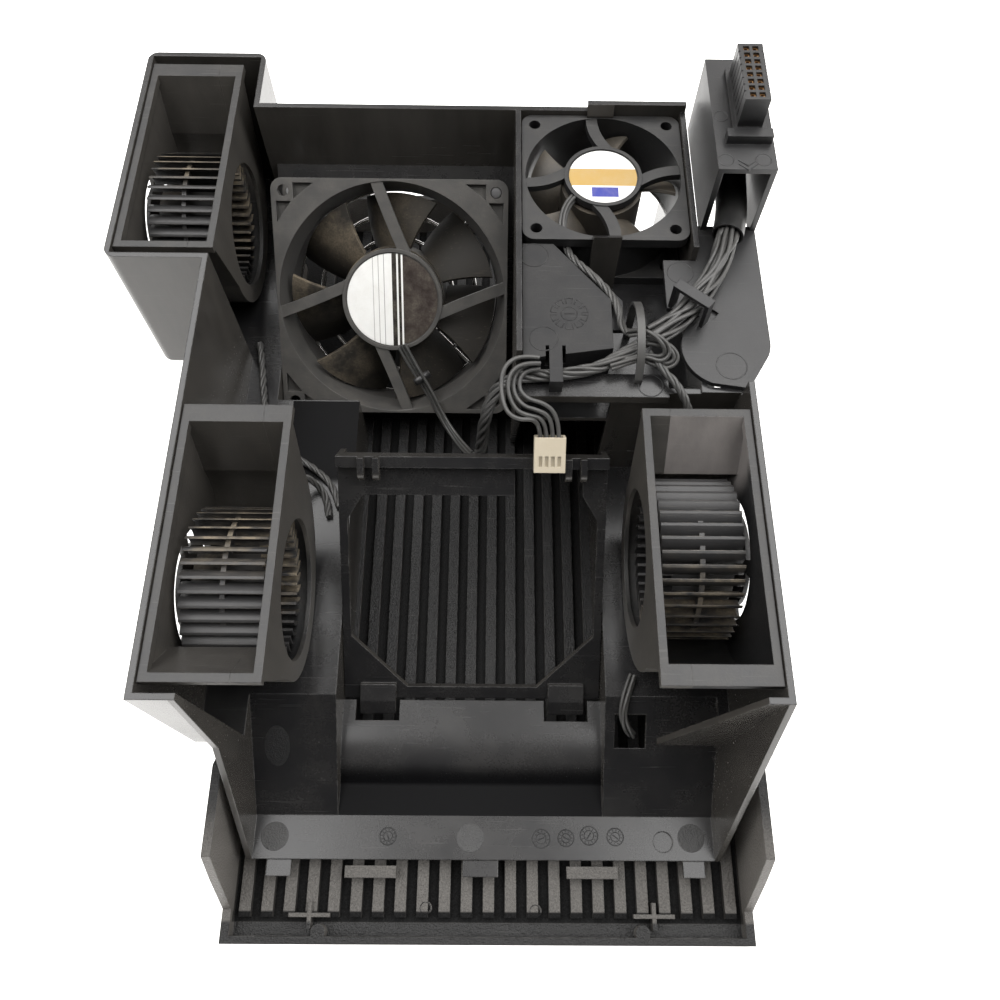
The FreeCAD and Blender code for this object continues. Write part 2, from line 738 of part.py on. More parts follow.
    outline(below_seat, [
        (rear_inside, f"{under} - 1"), (f"{DUCT_REAR} + 1", f"{under} - 1"),
        (f"{DUCT_REAR} + 1", f"{seat_z(DUCT_REAR)} - {wall} / cos(dim.large_tilt)"),
        (rear_inside, f"{seat_z(rear_inside)} - {wall} / cos(dim.large_tilt)"),
    ])
    pocket(body, "rear_opening", below_seat, f"{TRAY_LEFT} - {wall} - {FAN_LEFT}")
    below_tray = sketch_on(body, "tray_opening_outline", "YZ", f"{TRAY_LEFT} - {wall}")
    rectangle(below_tray, rear_inside, f"{under} - 1", f"{DUCT_REAR} + 1", f"{TRAY_FLOOR} - {wall}")
    pocket(body, "tray_opening", below_tray, f"{TRAY_RIGHT} - {TRAY_LEFT} + {wall}")
    tray_hole = sketch_on(body, "tray_passage_outline", "XY", f"{TRAY_FLOOR} + 1")
    circle(tray_hole, "dim.small_x", "dim.small_y", "dim.small_bore / 2")
    pocket(body, "tray_passage", tray_hole, f"{wall} + 2", backward=True)

    # Walls of the channel under the tray and beside the fan bay.
    closing = sketch_on(body, "closing_outline", "YZ", TRAY_LEFT)
    outline(closing, [
        (seat_y(RIB_TOP), RIB_TOP), (f"{seat_y(RIB_TOP)} + {wall} * 1.2", RIB_TOP),
        (f"dim.tray_back + {wall} * 1.2", f"{TRAY_FLOOR} - {wall}"),
        ("dim.tray_back", f"{TRAY_FLOOR} - {wall}"),
    ])
    pad(body, "closing_plate", closing, f"{TRAY_RIGHT} - {TRAY_LEFT}")
    tray_side = sketch_on(body, "tray_side_outline", "YZ", f"{TRAY_RIGHT} - {wall}")
    outline(tray_side, [
        (f"dim.tray_front - {wall}", RIB_TOP), (seat_y(RIB_TOP), RIB_TOP),
        ("dim.tray_back", f"{TRAY_FLOOR} - {wall}"), (f"dim.tray_front - {wall}", f"{TRAY_FLOOR} - {wall}"),
    ])
    pad(body, "tray_side", tray_side, wall)
    for name, start, rear in (("left", f"dim.channel_left - {wall}", "dim.channel_step"),
                              ("right", "dim.channel_right", "dim.tray_front")):
        channel = sketch_on(body, f"channel_{name}_outline", "YZ", start)
        outline(channel, [
            ("dim.ramp_top", RIB_TOP), (rear, RIB_TOP), (rear, floor), ("dim.ramp_top", floor),
            ("dim.ramp_foot", "dim.strip_height"), ("dim.ramp_foot", strip_under),
        ])
        pad(body, f"channel_{name}_wall", channel, wall)
    step = sketch_on(body, "channel_step_outline", "XZ", f"dim.channel_step + {wall}")
    rectangle(step, f"{FAN_LEFT} - {wall}", RIB_TOP, "dim.channel_left", floor)
    pad(body, "channel_step", step, wall)
    rear_wall = sketch_on(body, "right_box_rear_outline", "XZ", "dim.tray_front")
    rectangle(rear_wall, "dim.channel_right", RIB_TOP, TRAY_RIGHT, "dim.shelf_height")
    pad(body, "right_box_rear", rear_wall, wall)
    shelf = sketch_on(body, "shelf_outline", "XY", "dim.shelf_height - dim.shelf_thick")
    rectangle(shelf, "dim.shelf_left", "dim.tray_front - dim.shelf_ahead",
              "dim.shelf_right", "dim.tray_front + dim.shelf_behind")
    pad(body, "wire_shelf", shelf, "dim.shelf_thick")

    # Ramps at both sides, the curved scoop between them and the flat strip in front.
    for name, start, end in (("left", "dim.left_wall_foot", "dim.channel_left"),
                             ("right", "dim.channel_right", "dim.right_wall_foot")):
        ramp = sketch_on(body, f"ramp_{name}_outline", "YZ", start)
        outline(ramp, [
            ("dim.ramp_top", floor), ("dim.ramp_foot", "dim.strip_height"),
            ("dim.strip_front", "dim.strip_height"), ("dim.strip_front", strip_under),
            ("dim.ramp_foot", strip_under), ("dim.ramp_top", under),
        ])
        pad(body, f"ramp_{name}", ramp, f"{end} - {start}")
    scoop = sketch_on(body, "scoop_outline", "YZ", "dim.channel_left")
    outline(scoop, [
        ("dim.scoop_rear", "dim.scoop_height"), ("dim.scoop_foot", "dim.strip_height"),
        ("dim.strip_front", "dim.strip_height"), ("dim.strip_front", strip_under),
        ("dim.scoop_foot", strip_under), ("dim.scoop_rear", f"dim.scoop_height - {wall}"),
    ], {0: ("dim.scoop_radius", 1), 4: ("dim.scoop_radius - dim.wall", -1)})
    pad(body, "scoop", scoop, "dim.channel_right - dim.channel_left")
    notches = sketch_on(body, "scoop_notches_outline", "XY", "dim.scoop_height + 1")
    middle = "((dim.channel_left + dim.channel_right) / 2)"
    reach = "(dim.latch_wide / 2 + dim.latch_gap)"
    for shift in ("- dim.latch_shift", "+ dim.latch_shift"):
        rectangle(notches, f"{middle} {shift} - {reach}", "dim.scoop_rear - dim.latch_notch",
                  f"{middle} {shift} + {reach}", "dim.scoop_rear + 1")
    pocket(body, "scoop_notches", notches, "dim.scoop_height - dim.strip_height", backward=True)

    # Clip hole in the right ramp, a dimple in the strip and three tabs along its front edge.
    ramp_hole = sketch_on(body, "ramp_hole_outline", "XY", floor)
    rectangle(ramp_hole, "dim.ramp_hole_left", "dim.ramp_hole_front",
              "dim.ramp_hole_left + dim.ramp_hole_wide", "dim.ramp_hole_rear")
    pocket(body, "ramp_hole", ramp_hole, f"{floor} - dim.strip_height", backward=True)
    dimple = circle(sketch_on(body, "dimple_outline", "XY", "dim.strip_height"),
                    "dim.dimple_x", "dim.dimple_y", "dim.dimple_radius")
    pocket(body, "dimple", dimple, "dim.dimple_deep", backward=True)
    for name in ("left", "middle", "right"):
        tab = sketch_on(body, f"strip_{name}_tab_outline", "XY", strip_under)
        rectangle(tab, f"dim.{name}_tab_x - dim.{name}_tab_wide / 2",
                  "dim.strip_front - dim.strip_tab_long",
                  f"dim.{name}_tab_x + dim.{name}_tab_wide / 2", f"dim.strip_front + {wall}")
        pad(body, f"strip_{name}_tab", tab, "dim.strip_tab_thick")

    # Slanted side walls of the front section, trimmed to their sloping front edges.
    length = "dim.ramp_top - dim.strip_front"
    left_wall = sketch_on(body, "front_left_wall_outline", "XZ", "dim.ramp_top")
    outline(left_wall, [
        ("dim.left_wall_foot", strip_under), (f"dim.left_wall_foot + {wall}", strip_under),
        (f"dim.left_wall_head + {wall}", "dim.rim_height"), ("dim.left_wall_head", "dim.rim_height"),
    ])
    pad(body, "front_left_wall", left_wall, length)
    right_wall = sketch_on(body, "front_right_wall_outline", "XZ", "dim.ramp_top")
    outline(right_wall, [
        (f"dim.right_wall_foot - {wall}", strip_under), ("dim.right_wall_foot", strip_under),
        (DUCT_RIGHT, "dim.rim_height"), (f"{DUCT_RIGHT} - {wall}", "dim.rim_height"),
    ])
    pad(body, "front_right_wall", right_wall, length)
    inner_start = f"{DUCT_FRONT} + {wall}"
    bend = (f"{DUCT_FRONT} - dim.edge_bend_run", "dim.rim_height - dim.edge_bend_drop")
    for name, start, reach, bends in (("left", "dim.left_wall_head - 1", "12", [bend]),
                                      ("right", f"dim.right_wall_foot - {wall} - 1", "8", [])):
        trim = sketch_on(body, f"front_{name}_trim_outline", "YZ", start)
        outline(trim, [
            (DUCT_FRONT, "dim.rim_height + 1"), (DUCT_FRONT, "dim.rim_height"), *bends,
            ("dim.strip_front", "dim.strip_height"), ("dim.strip_front - 1", "dim.strip_height"),
            ("dim.strip_front - 1", "dim.rim_height + 1"),
        ])
        pocket(body, f"front_{name}_trim", trim, reach)
    for name, start, end in (("left", "dim.left_wall_head - 1", "dim.left_wall_foot + 4"),
                             ("right", f"dim.right_wall_foot - {wall} - 1", f"{DUCT_RIGHT} - {wall}")):
        clear = sketch_on(body, f"front_{name}_clear_outline", "YZ", start)
        rectangle(clear, inner_start, floor, "dim.ramp_top + 1", "dim.rim_height + 1")
        pocket(body, f"front_{name}_clear", clear, f"{end} - ({start})")
    left_gusset = sketch_on(body, "left_gusset_outline", "XZ", inner_start)
    outline(left_gusset, [
        (DUCT_LEFT, under), ("dim.left_wall_foot", under),
        (f"dim.left_wall_head + {wall}", "dim.rim_height"), (DUCT_LEFT, "dim.rim_height"),
    ])
    pad(body, "left_gusset", left_gusset, wall)
    right_gusset = sketch_on(body, "right_gusset_outline", "XZ", inner_start)
    outline(right_gusset, [
        ("dim.gusset_foot", under), (DUCT_RIGHT, under), (DUCT_RIGHT, "dim.rim_height"),
        ("dim.gusset_head", "dim.rim_height"), ("dim.gusset_foot", floor),
    ])
    pad(body, "right_gusset", right_gusset, wall)

    # Inlet windows beside the blowers' outer faces.
    for name, start, along in (
            ("rear_left", f"{BOX_LEFT} - 1", "dim.rear_left_y - dim.outlet_shift"),
            ("front_left", f"{DUCT_LEFT} - 1", "dim.front_y - dim.outlet_shift"),
            ("right", f"{DUCT_RIGHT} - {wall} - 1", "dim.front_y + dim.outlet_shift")):
        window = sketch_on(body, f"{name}_inlet_outline", "YZ", start)
        circle(window, along, WHEEL_HEIGHT, "dim.inlet_radius")
        pocket(body, f"{name}_inlet", window, f"{wall} + 2")

    # The tray's right wall is low beside the ledge, and two clips hold the small fan down.
    notch = sketch_on(body, "ledge_notch_outline", "YZ", f"{TRAY_RIGHT} - {wall} - 1")
    rectangle(notch, "dim.tray_front", LEDGE_UNDER, "dim.ledge_rear", "dim.rim_height + 1")
    pocket(body, "ledge_notch", notch, f"{wall} + 2")
    box_notch = sketch_on(body, "box_notch_outline", "XZ", "dim.tray_front + 1")
    rectangle(box_notch, f"{TRAY_RIGHT} - {wall} - 1", LEDGE_UNDER, f"{DUCT_RIGHT} + 1", "dim.rim_height + 1")
    pocket(body, "box_notch", box_notch, f"{wall} + 2")
    raised = sketch_on(body, "raised_rim_outline", "XY", "dim.rim_height")
    rectangle(raised, "dim.small_x - dim.clip_wide / 2", rear_inside, TRAY_RIGHT, DUCT_REAR)
    pad(body, "raised_rim", raised, "dim.clip_rise")
    rear_clip = sketch_on(body, "rear_clip_outline", "YZ", "dim.small_x - dim.clip_wide / 2")
    rear_nose = f"{rear_inside} - dim.seat_gap - dim.clip_reach"
    outline(rear_clip, [
        (DUCT_REAR, "dim.small_z + 0.1"), (DUCT_REAR, "dim.rim_height + dim.clip_rise"),
        (rear_inside, "dim.rim_height + dim.clip_rise"),
        (rear_nose, "dim.small_z + 0.8"), (rear_nose, "dim.small_z + 0.1"),
    ])
    pad(body, "rear_clip", rear_clip, "dim.clip_wide")
    front_clip = sketch_on(body, "front_clip_outline", "YZ", "dim.small_x - dim.clip_wide / 2")
    fan_front = "(dim.small_y - dim.small_size / 2 - dim.seat_gap)"
    front_nose = f"{fan_front} + dim.seat_gap + dim.clip_reach"
    outline(front_clip, [
        (f"{fan_front} - {wall}", f"{TRAY_FLOOR} - 0.5"), (fan_front, f"{TRAY_FLOOR} - 0.5"),
        (fan_front, "dim.small_z + 0.1"), (front_nose, "dim.small_z + 0.1"),
        (front_nose, "dim.small_z + 0.8"), (f"{fan_front} - {wall}", "dim.rim_height + 2"),
    ])
    pad(body, "front_clip", front_clip, "dim.clip_wide")
    return body


# Frame of the empty fan bay, slanted like the large fan, with side rims and two pairs of hook prongs.
def fan_bay_frame():
    body = new_body("fan_bay_frame")
    place(body, ("(dim.channel_left + dim.channel_right) / 2", "dim.bay_y", "dim.bay_z"),
          (1, 0, 0), "dim.bay_tilt")
    half_wide = "((dim.channel_right - dim.channel_left) / 2 - dim.seat_gap)"
    half_long = "(dim.bay_long / 2)"
    plate = sketch_on(body, "bay_plate_outline", "XY", "-dim.bay_thick")
    rectangle(plate, f"-{half_wide}", f"-{half_long}", half_wide, half_long)
    pad(body, "bay_plate", plate, "dim.bay_thick")
    for name, start, end in (("left", f"-{half_wide}", f"-{half_wide} + dim.wall"),
                             ("right", f"{half_wide} - dim.wall", half_wide)):
        rim = sketch_on(body, f"bay_{name}_rim_outline", "XY", "-dim.bay_rim")
        rectangle(rim, start, f"-{half_long}", end, half_long)
        pad(body, f"bay_{name}_rim", rim, "dim.bay_rim")
    bar = sketch_on(body, "bay_bar_outline", "XY", "0")
    rectangle(bar, f"-{half_wide}", f"{half_long} - dim.bay_bar", half_wide, half_long)
    pad(body, "bay_bar", bar, "dim.bay_bar")
    opening = sketch_on(body, "bay_opening_outline", "XY", "0")
    side = "(dim.bay_open / 2)"
    low = f"(dim.bay_open_low - {half_long})"
    high = f"({half_long} - dim.bay_bar)"
    neck = f"({half_long} - dim.bay_neck_drop)"
    outline(opening, [
        (f"dim.bay_chamfer - {side}", low), (f"{side} - dim.bay_chamfer", low),
        (side, f"{low} + dim.bay_chamfer"), (side, f"{neck} - dim.bay_neck_slope"),
        (f"{side} - dim.bay_neck", neck), (f"{side} - dim.bay_neck", high),
        ("dim.flap_right", high), ("dim.flap_right", neck),
        (f"dim.bay_neck - {side}", neck), (f"-{side}", f"{neck} - dim.bay_neck_slope"),
        (f"-{side}", f"{low} + dim.bay_chamfer"),
    ])
    pocket(body, "bay_opening", opening, "dim.bay_thick + 1", backward=True)
    nose = f"({half_long} - dim.prong_reach)"
    under = "(dim.prong_tall - dim.prong_thick)"
    for name, middle in (("left", "-dim.prong_spread"), ("right", "dim.prong_spread")):
        for side_name, shift in (("inner", "-dim.prong_gap"), ("outer", "dim.prong_gap")):
            prong = sketch_on(body, f"bay_{name}_{side_name}_prong_outline", "YZ",
                              f"{middle} + {shift} - dim.prong_wide / 2")
            outline(prong, [
                (high, "0"), (half_long, "0"), (half_long, "dim.prong_tall"),
                (f"{nose} + dim.prong_nose", "dim.prong_tall"),
                (nose, "dim.prong_tall - dim.prong_nose"), (nose, under), (high, under),
            ], {3: ("dim.prong_nose", 1)})
            pad(body, f"bay_{name}_{side_name}_prong", prong, "dim.prong_wide")
    for name, middle in (("left", "-dim.latch_shift"), ("right", "dim.latch_shift")):
        latch = sketch_on(body, f"bay_{name}_latch_outline", "YZ", f"{middle} - dim.latch_wide / 2")
        outline(latch, [
            (f"-{half_long} - dim.latch_reach", "0"), (f"dim.latch_hold - {half_long}", "0"),
            (f"dim.latch_hold - {half_long}", "dim.latch_tall / 2"),
            (f"-{half_long}", "dim.latch_tall"), (f"-{half_long} - dim.latch_reach", "dim.latch_tall"),
        ])
        pad(body, f"bay_{name}_latch", latch, "dim.latch_wide")
    return body


# Lid over the wire tray: a plate with side walls, and a lip that the small fan's lead lies on.
def wire_cover():
    body = new_body("wire_cover")
    left = f"({TRAY_LEFT} + dim.seat_gap)"
    rear = "(dim.small_y - dim.small_size / 2 - dim.seat_gap * 3)"
    top = "dim.plate_height"
    height = f"{top} - {TRAY_FLOOR}"
    corners = [
        (left, "dim.plate_front"), ("dim.plate_right", "dim.plate_front + dim.plate_skew"),
        ("dim.plate_right", "dim.plate_corner"), ("dim.plate_notch", rear), (left, rear),
    ]
    lid = outline(sketch_on(body, "lid_outline", "XY", TRAY_FLOOR), corners)
    pad(body, "lid_block", lid, height)
    inside = sketch_on(body, "lid_inside_outline", "XY", TRAY_FLOOR)
    skin = "dim.wall"
    outline(inside, [
        (f"{left} + {skin}", f"dim.plate_front + {skin} * 1.3"),
        (f"dim.plate_right - {skin}", f"dim.plate_front + dim.plate_skew + {skin} * 1.1"),
        (f"dim.plate_right - {skin}", f"dim.plate_corner - {skin} / 2"),
        (f"dim.plate_notch - {skin} / 2", f"{rear} - {skin}"),
        (f"{left} + {skin}", f"{rear} - {skin}"),
    ])
    pocket(body, "lid_hollow", inside, f"{height} - dim.plate_thick")
    middle_x = "(dim.plate_right + dim.plate_notch) / 2"
    middle_y = f"(dim.plate_corner + {rear}) / 2"
    lip = sketch_on(body, "lid_lip_outline", "XY", f"{top} - dim.lead_step - dim.plate_thick")
    outline(lip, [
        ("dim.plate_right - 1", "dim.plate_front + dim.plate_skew + 10"),
        ("dim.plate_right + dim.lead_shelf", "dim.plate_front + dim.plate_skew + 10"),
        ("dim.plate_right + dim.lead_shelf", "dim.plate_corner + dim.lead_shelf / 2"),
        (f"{middle_x} + dim.lead_shelf * 0.8", f"{middle_y} + dim.lead_shelf * 0.65"),
        (f"{middle_x} - 1", f"{middle_y} - 1"), ("dim.plate_right - 1", "dim.plate_corner - 1"),
    ])
    pad(body, "lid_lip", lip, "dim.plate_thick")
    slots = sketch_on(body, "lid_slots_outline", "XY", top)
    for shift in ("-dim.tab_wide / 2 - dim.tab_slot", "dim.tab_wide / 2"):
        rectangle(slots, f"dim.tab_x + {shift}", "dim.plate_front - 1",
                  f"dim.tab_x + {shift} + dim.tab_slot", "dim.plate_front + dim.tab_long")
    pocket(body, "lid_slots", slots, "dim.plate_thick * 3", backward=True)
    tongue = sketch_on(body, "lid_tongue_outline", "YZ", "dim.tab_x - dim.tab_wide / 2")
    tip = "(dim.plate_front - dim.tongue_reach)"
    outline(tongue, [
        (tip, "dim.shelf_height + 0.1"), (f"{tip} + dim.tongue_thick", "dim.shelf_height + 0.1"),
        (f"{tip} + dim.tongue_thick", f"{top} - dim.tongue_thick"),
        (f"dim.plate_front + {skin}", f"{top} - dim.tongue_thick"),
        (f"dim.plate_front + {skin}", top), (tip, top),
    ])
    pad(body, "lid_tongue", tongue, "dim.tab_wide")
    return body


# Tower that holds the socket, with the ledge and the strap that the wire bundle runs over and under.
def connector_bracket():
    body = new_body("connector_bracket")
    wall = "dim.wall"
    ledge = sketch_on(body, "ledge_outline", "XY", LEDGE_UNDER)
    beside = f"({TRAY_RIGHT} + dim.seat_gap)"
    outline(ledge, [
        (beside, "dim.tower_front + 2"), (beside, "dim.ledge_rear - dim.seat_gap"),
        ("dim.ledge_left", "dim.ledge_rear - dim.seat_gap"), ("dim.ledge_left", "dim.ledge_step"),
        ("dim.lobe_rear_x", "dim.lobe_rear_y"), ("dim.lobe_front_x", "dim.lobe_front_y"),
        ("dim.ledge_tip", "dim.ledge_front"), ("dim.ledge_corner_x", "dim.ledge_corner_y"),
        ("dim.tower_right", "dim.ledge_shoulder"), ("dim.tower_right", "dim.tower_front + 2"),
    ], {4: ("dim.lobe_radius", 1), 7: ("dim.ledge_curve", 1)})
    pad(body, "ledge", ledge, wall)
    walls = sketch_on(body, "tower_walls_outline", "XY", LEDGE_UNDER)
    outline(walls, [
        ("dim.tower_left", "dim.tower_front"), (f"dim.tower_left + {wall}", "dim.tower_front"),
        (f"dim.tower_left + {wall}", f"dim.tower_rear - {wall}"),
        (f"dim.tower_right - {wall}", f"dim.tower_rear - {wall}"),
        (f"dim.tower_right - {wall}", "dim.tower_front"), ("dim.tower_right", "dim.tower_front"),
        ("dim.tower_right", "dim.tower_rear"), ("dim.tower_left", "dim.tower_rear"),
    ])
    pad(body, "tower_walls", walls, f"dim.tower_height - {LEDGE_UNDER}")
    roof = sketch_on(body, "tower_roof_outline", "XY", f"dim.tower_height - {wall}")
    rectangle(roof, "dim.tower_left", "dim.tower_front", "dim.tower_right", "dim.tower_rear")
    pad(body, "tower_roof", roof, wall)
    slot = sketch_on(body, "socket_slot_outline", "XY", "dim.tower_height")
    half_wide = "(dim.socket_wide / 2 + dim.seat_gap)"
    half_long = "(dim.socket_rows * dim.socket_pitch / 2 + dim.socket_end + dim.seat_gap)"
    rectangle(slot, f"dim.socket_x - {half_wide}", f"dim.socket_y - {half_long}",
              f"dim.socket_x + {half_wide}", f"dim.socket_y + {half_long}")
    pocket(body, "socket_slot", slot, f"{wall} + 1", backward=True)
    stop = sketch_on(body, "socket_stop_outline", "XY", "dim.tower_height")
    rectangle(stop, "dim.stop_left", "dim.stop_y - dim.stop_deep / 2",
              "dim.stop_right", "dim.stop_y + dim.stop_deep / 2")
    pad(body, "socket_stop", stop, "dim.stop_tall")

    # Strap across the bundle, and two slots beside it.
    holes = sketch_on(body, "strap_slots_outline", "XY", "dim.ledge_height")
    holes.AttachmentOffset = Placement(Vector(), Rotation(Vector(0, 0, -1), value("dim.strap_turn")))
    holes.setExpression("AttachmentOffset.Base.x", "dim.strap_x")
    holes.setExpression("AttachmentOffset.Base.y", "dim.strap_y")
    holes.setExpression("AttachmentOffset.Base.z", "dim.ledge_height")
    holes.setExpression("AttachmentOffset.Rotation.Angle", "dim.strap_turn")
    half_slot = "dim.strap_slot_long / 2"
    for across, along in (("-dim.strap_slot_shift", "dim.rear_slot_along"),
                          ("dim.strap_slot_shift", "dim.front_slot_along")):
        rectangle(holes, f"{across} - {half_slot}", f"{along} - dim.strap_slot_wide / 2",
                  f"{across} + {half_slot}", f"{along} + dim.strap_slot_wide / 2")
    pocket(body, "strap_slots", holes, f"{wall} * 0.6", backward=True)
    strap = sketch_on(body, "strap_outline", "XZ")
    strap.AttachmentOffset = Placement(Vector(), Rotation(Vector(0, -1, 0), value("dim.strap_turn")))
    strap.setExpression("AttachmentOffset.Base.x",
                        "dim.strap_x + dim.strap_wide / 2 * sin(dim.strap_turn)")
    strap.setExpression("AttachmentOffset.Base.z",
                        "-(dim.strap_y + dim.strap_wide / 2 * cos(dim.strap_turn))")
    strap.setExpression("AttachmentOffset.Rotation.Angle", "dim.strap_turn")
    inner = "(dim.strap_span / 2)"
    foot = f"({inner} + dim.strap_thick)"
    high = "(dim.ledge_height + dim.strap_rise)"
    outline(strap, [
        (f"-{foot}", LEDGE_UNDER), (f"-{inner}", LEDGE_UNDER), (f"-{inner}", f"{high} - dim.strap_thick"),
        (inner, f"{high} - dim.strap_thick"), (inner, LEDGE_UNDER), (foot, LEDGE_UNDER),
        (foot, high), (f"-{foot}", high),
    ])
    pad(body, "wire_strap", strap, "dim.strap_wide")
    return body


# Socket on the tower: a shouldered block with two rows of square cavities, and its contacts.
def connector():
    body = new_body("connector_housing")
    half_wide = "(dim.socket_wide / 2)"
    half_long = "(dim.socket_rows * dim.socket_pitch / 2 + dim.socket_end)"
    block = sketch_on(body, "socket_block_outline", "XY", "dim.socket_bottom")
    rectangle(block, f"dim.socket_x - {half_wide}", f"dim.socket_y - {half_long}",
              f"dim.socket_x + {half_wide}", f"dim.socket_y + {half_long}")
    pad(body, "socket_block", block, "dim.socket_top - dim.socket_bottom")
    shoulder = sketch_on(body, "socket_shoulder_outline", "XY", "dim.tower_height")
    grow = "dim.socket_shoulder"
    rectangle(shoulder, f"dim.socket_x - {half_wide} - {grow}", f"dim.socket_y - {half_long} - {grow}",
              f"dim.socket_x + {half_wide} + {grow}", f"dim.socket_y + {half_long} + {grow}")
    pad(body, "socket_shoulder", shoulder, "dim.wall")
    cavity = sketch_on(body, "socket_cavity_outline", "XY", "dim.socket_top")
    first = "(dim.socket_y - (dim.socket_rows - 1) * dim.socket_pitch / 2)"
    hole = "(dim.contact_side / 2 + dim.running_gap)"
    for column in ("(dim.socket_x - dim.socket_pitch / 2)", "(dim.socket_x + dim.socket_pitch / 2)"):
        rectangle(cavity, f"{column} - {hole}", f"{first} - {hole}",
                  f"{column} + {hole}", f"{first} + {hole}")
    one_row = pocket(body, "socket_cavity", cavity, "dim.contact_deep", backward=True)
    rows = body.newObject("PartDesign::LinearPattern", "socket_cavities")
    rows.Originals = [one_row]
    rows.Direction = (origin_feature(body, "Y_Axis"), [""])
    rows.setExpression("Length", "(dim.socket_rows - 1) * dim.socket_pitch")
    rows.setExpression("Occurrences", "dim.socket_rows")
    body.Tip = rows
    groove = sketch_on(body, "socket_groove_outline", "XY", "dim.socket_top")
    between = f"({first} + dim.socket_pitch / 2)"
    cut = "dim.socket_groove"
    for start, end in ((f"dim.socket_x - {half_wide} - 1", f"dim.socket_x - {half_wide} + {cut}"),
                       (f"dim.socket_x + {half_wide} - {cut}", f"dim.socket_x + {half_wide} + 1")):
        rectangle(groove, start, f"{between} - {cut} / 2", end, f"{between} + {cut} / 2")
    one_groove = pocket(body, "socket_groove", groove,
                        "dim.socket_top - dim.tower_height - dim.wall - 1", backward=True)
    grooves = body.newObject("PartDesign::LinearPattern", "socket_grooves")
    grooves.Originals = [one_groove]
    grooves.Direction = (origin_feature(body, "Y_Axis"), [""])
    grooves.setExpression("Length", "(dim.socket_rows - 2) * dim.socket_pitch")
    grooves.setExpression("Occurrences", "dim.socket_rows - 1")
    body.Tip = grooves

    side = value("dim.contact_side")
    tall = value("dim.contact_deep - dim.contact_sink")
    contacts = []
    for row in range(int(value("dim.socket_rows"))):
        for column in (-0.5, 0.5):
            x = value("dim.socket_x") + column * value("dim.socket_pitch") - side / 2
            y = value(first) + row * value("dim.socket_pitch") - side / 2
            z = value("dim.socket_top - dim.contact_deep")
            outer = Part.makeBox(side, side, tall, Vector(x, y, z))
            inset = value("dim.contact_skin")
            bore = Part.makeBox(side - 2 * inset, side - 2 * inset, tall - inset,
                                Vector(x + inset, y + inset, z + inset))
            contacts.append(outer.cut(bore))
    piece = doc.addObject("Part::Feature", "connector_contacts")
    piece.Shape = Part.makeCompound(contacts)
    return label(piece, "connector_contacts")


TUBE_RADIUS = "(dim.bearing_radius + dim.running_gap + dim.tube_skin)"


def ring_sketch(body, name, at, outer, inner):
    sketch = sketch_on(body, name, "XY", at)
    circle(sketch, "0", "0", outer)
    return circle(sketch, "0", "0", inner)


def round_piece(name, spot, turn, at, length, outer, inner=None):
    body = new_body(name)
    set_pose(body, spot, turn)
    sketch = sketch_on(body, f"{name}_outline", "XY", at)
    circle(sketch, "0", "0", outer)
    if inner:
        circle(sketch, "0", "0", inner)
    pad(body, f"{name}_pad", sketch, length)
    return body


# A pose is a spot and a turn: a tilt about X, or a fixed rotation.
def set_pose(piece, spot, turn):
    if isinstance(turn, str):
        place(piece, spot, (1, 0, 0), turn)
        return
    piece.Placement = Placement(Vector(), turn)
    for side, expression in zip("xyz", spot):
        piece.setExpression(f"Placement.Base.{side}", expression)


# Four wound poles round the bearing tube.
def stator(name, spot, turn, at, radius):
    body = new_body(name)
    set_pose(body, spot, turn)
    inner = f"({TUBE_RADIUS} + dim.running_gap * 2)"
    core = f"({inner} + dim.core_thick)"
    pad(body, f"{name}_core", ring_sketch(body, f"{name}_core_outline", at, core, inner), "dim.stator_tall")
    shoe_inner = f"({radius} - dim.shoe_thick)"
    pole = sketch_on(body, f"{name}_pole_outline", "XY", at)
    half = "(dim.pole_wide / 2)"
    rectangle(pole, f"{core} - 0.4", f"-{half}", f"{shoe_inner} + 0.4", half)
    polar(body, f"{name}_poles", pad(body, f"{name}_pole", pole, "dim.stator_tall"), "dim.pole_count")
    shoe = sketch_on(body, f"{name}_shoe_outline", "XY", at)
    angle = "dim.shoe_angle"
    outline(shoe, [
        (f"{shoe_inner} * cos({angle})", f"-{shoe_inner} * sin({angle})"),
        (f"{radius} * cos({angle})", f"-{radius} * sin({angle})"),
        (f"{radius} * cos({angle})", f"{radius} * sin({angle})"),
        (f"{shoe_inner} * cos({angle})", f"{shoe_inner} * sin({angle})"),
    ], {1: (radius, 1), 3: (shoe_inner, -1)})
    polar(body, f"{name}_shoes", pad(body, f"{name}_shoe", shoe, "dim.stator_tall"), "dim.pole_count")
    coil = sketch_on(body, f"{name}_coil_outline", "XY", f"{at} - dim.coil_proud")
    rectangle(coil, f"{core} + 0.2", "-dim.coil_wide / 2", f"{shoe_inner} - 0.2", "dim.coil_wide / 2")
    polar(body, f"{name}_coils",
          pad(body, f"{name}_coil", coil, "dim.stator_tall + 2 * dim.coil_proud"), "dim.pole_count")
    return body


def bearings(name, spot, turn, starts):
    rings = []
    for number, start in enumerate(starts, start=1):
        outer = primitive("Cylinder", f"{name}_{number}_outer", ("0", "0", start),
                          Radius="dim.bearing_radius", Height="dim.bearing_long")
        inner = primitive("Cylinder", f"{name}_{number}_bore", ("0", "0", start),
                          Radius="dim.shaft_radius + dim.running_gap", Height="dim.bearing_long")
        rings.append(boolean("Cut", f"{name}_{number}", outer, inner))
    pair = label(boolean("Compound", name, *rings), name)
    set_pose(pair, spot, turn)
    return pair


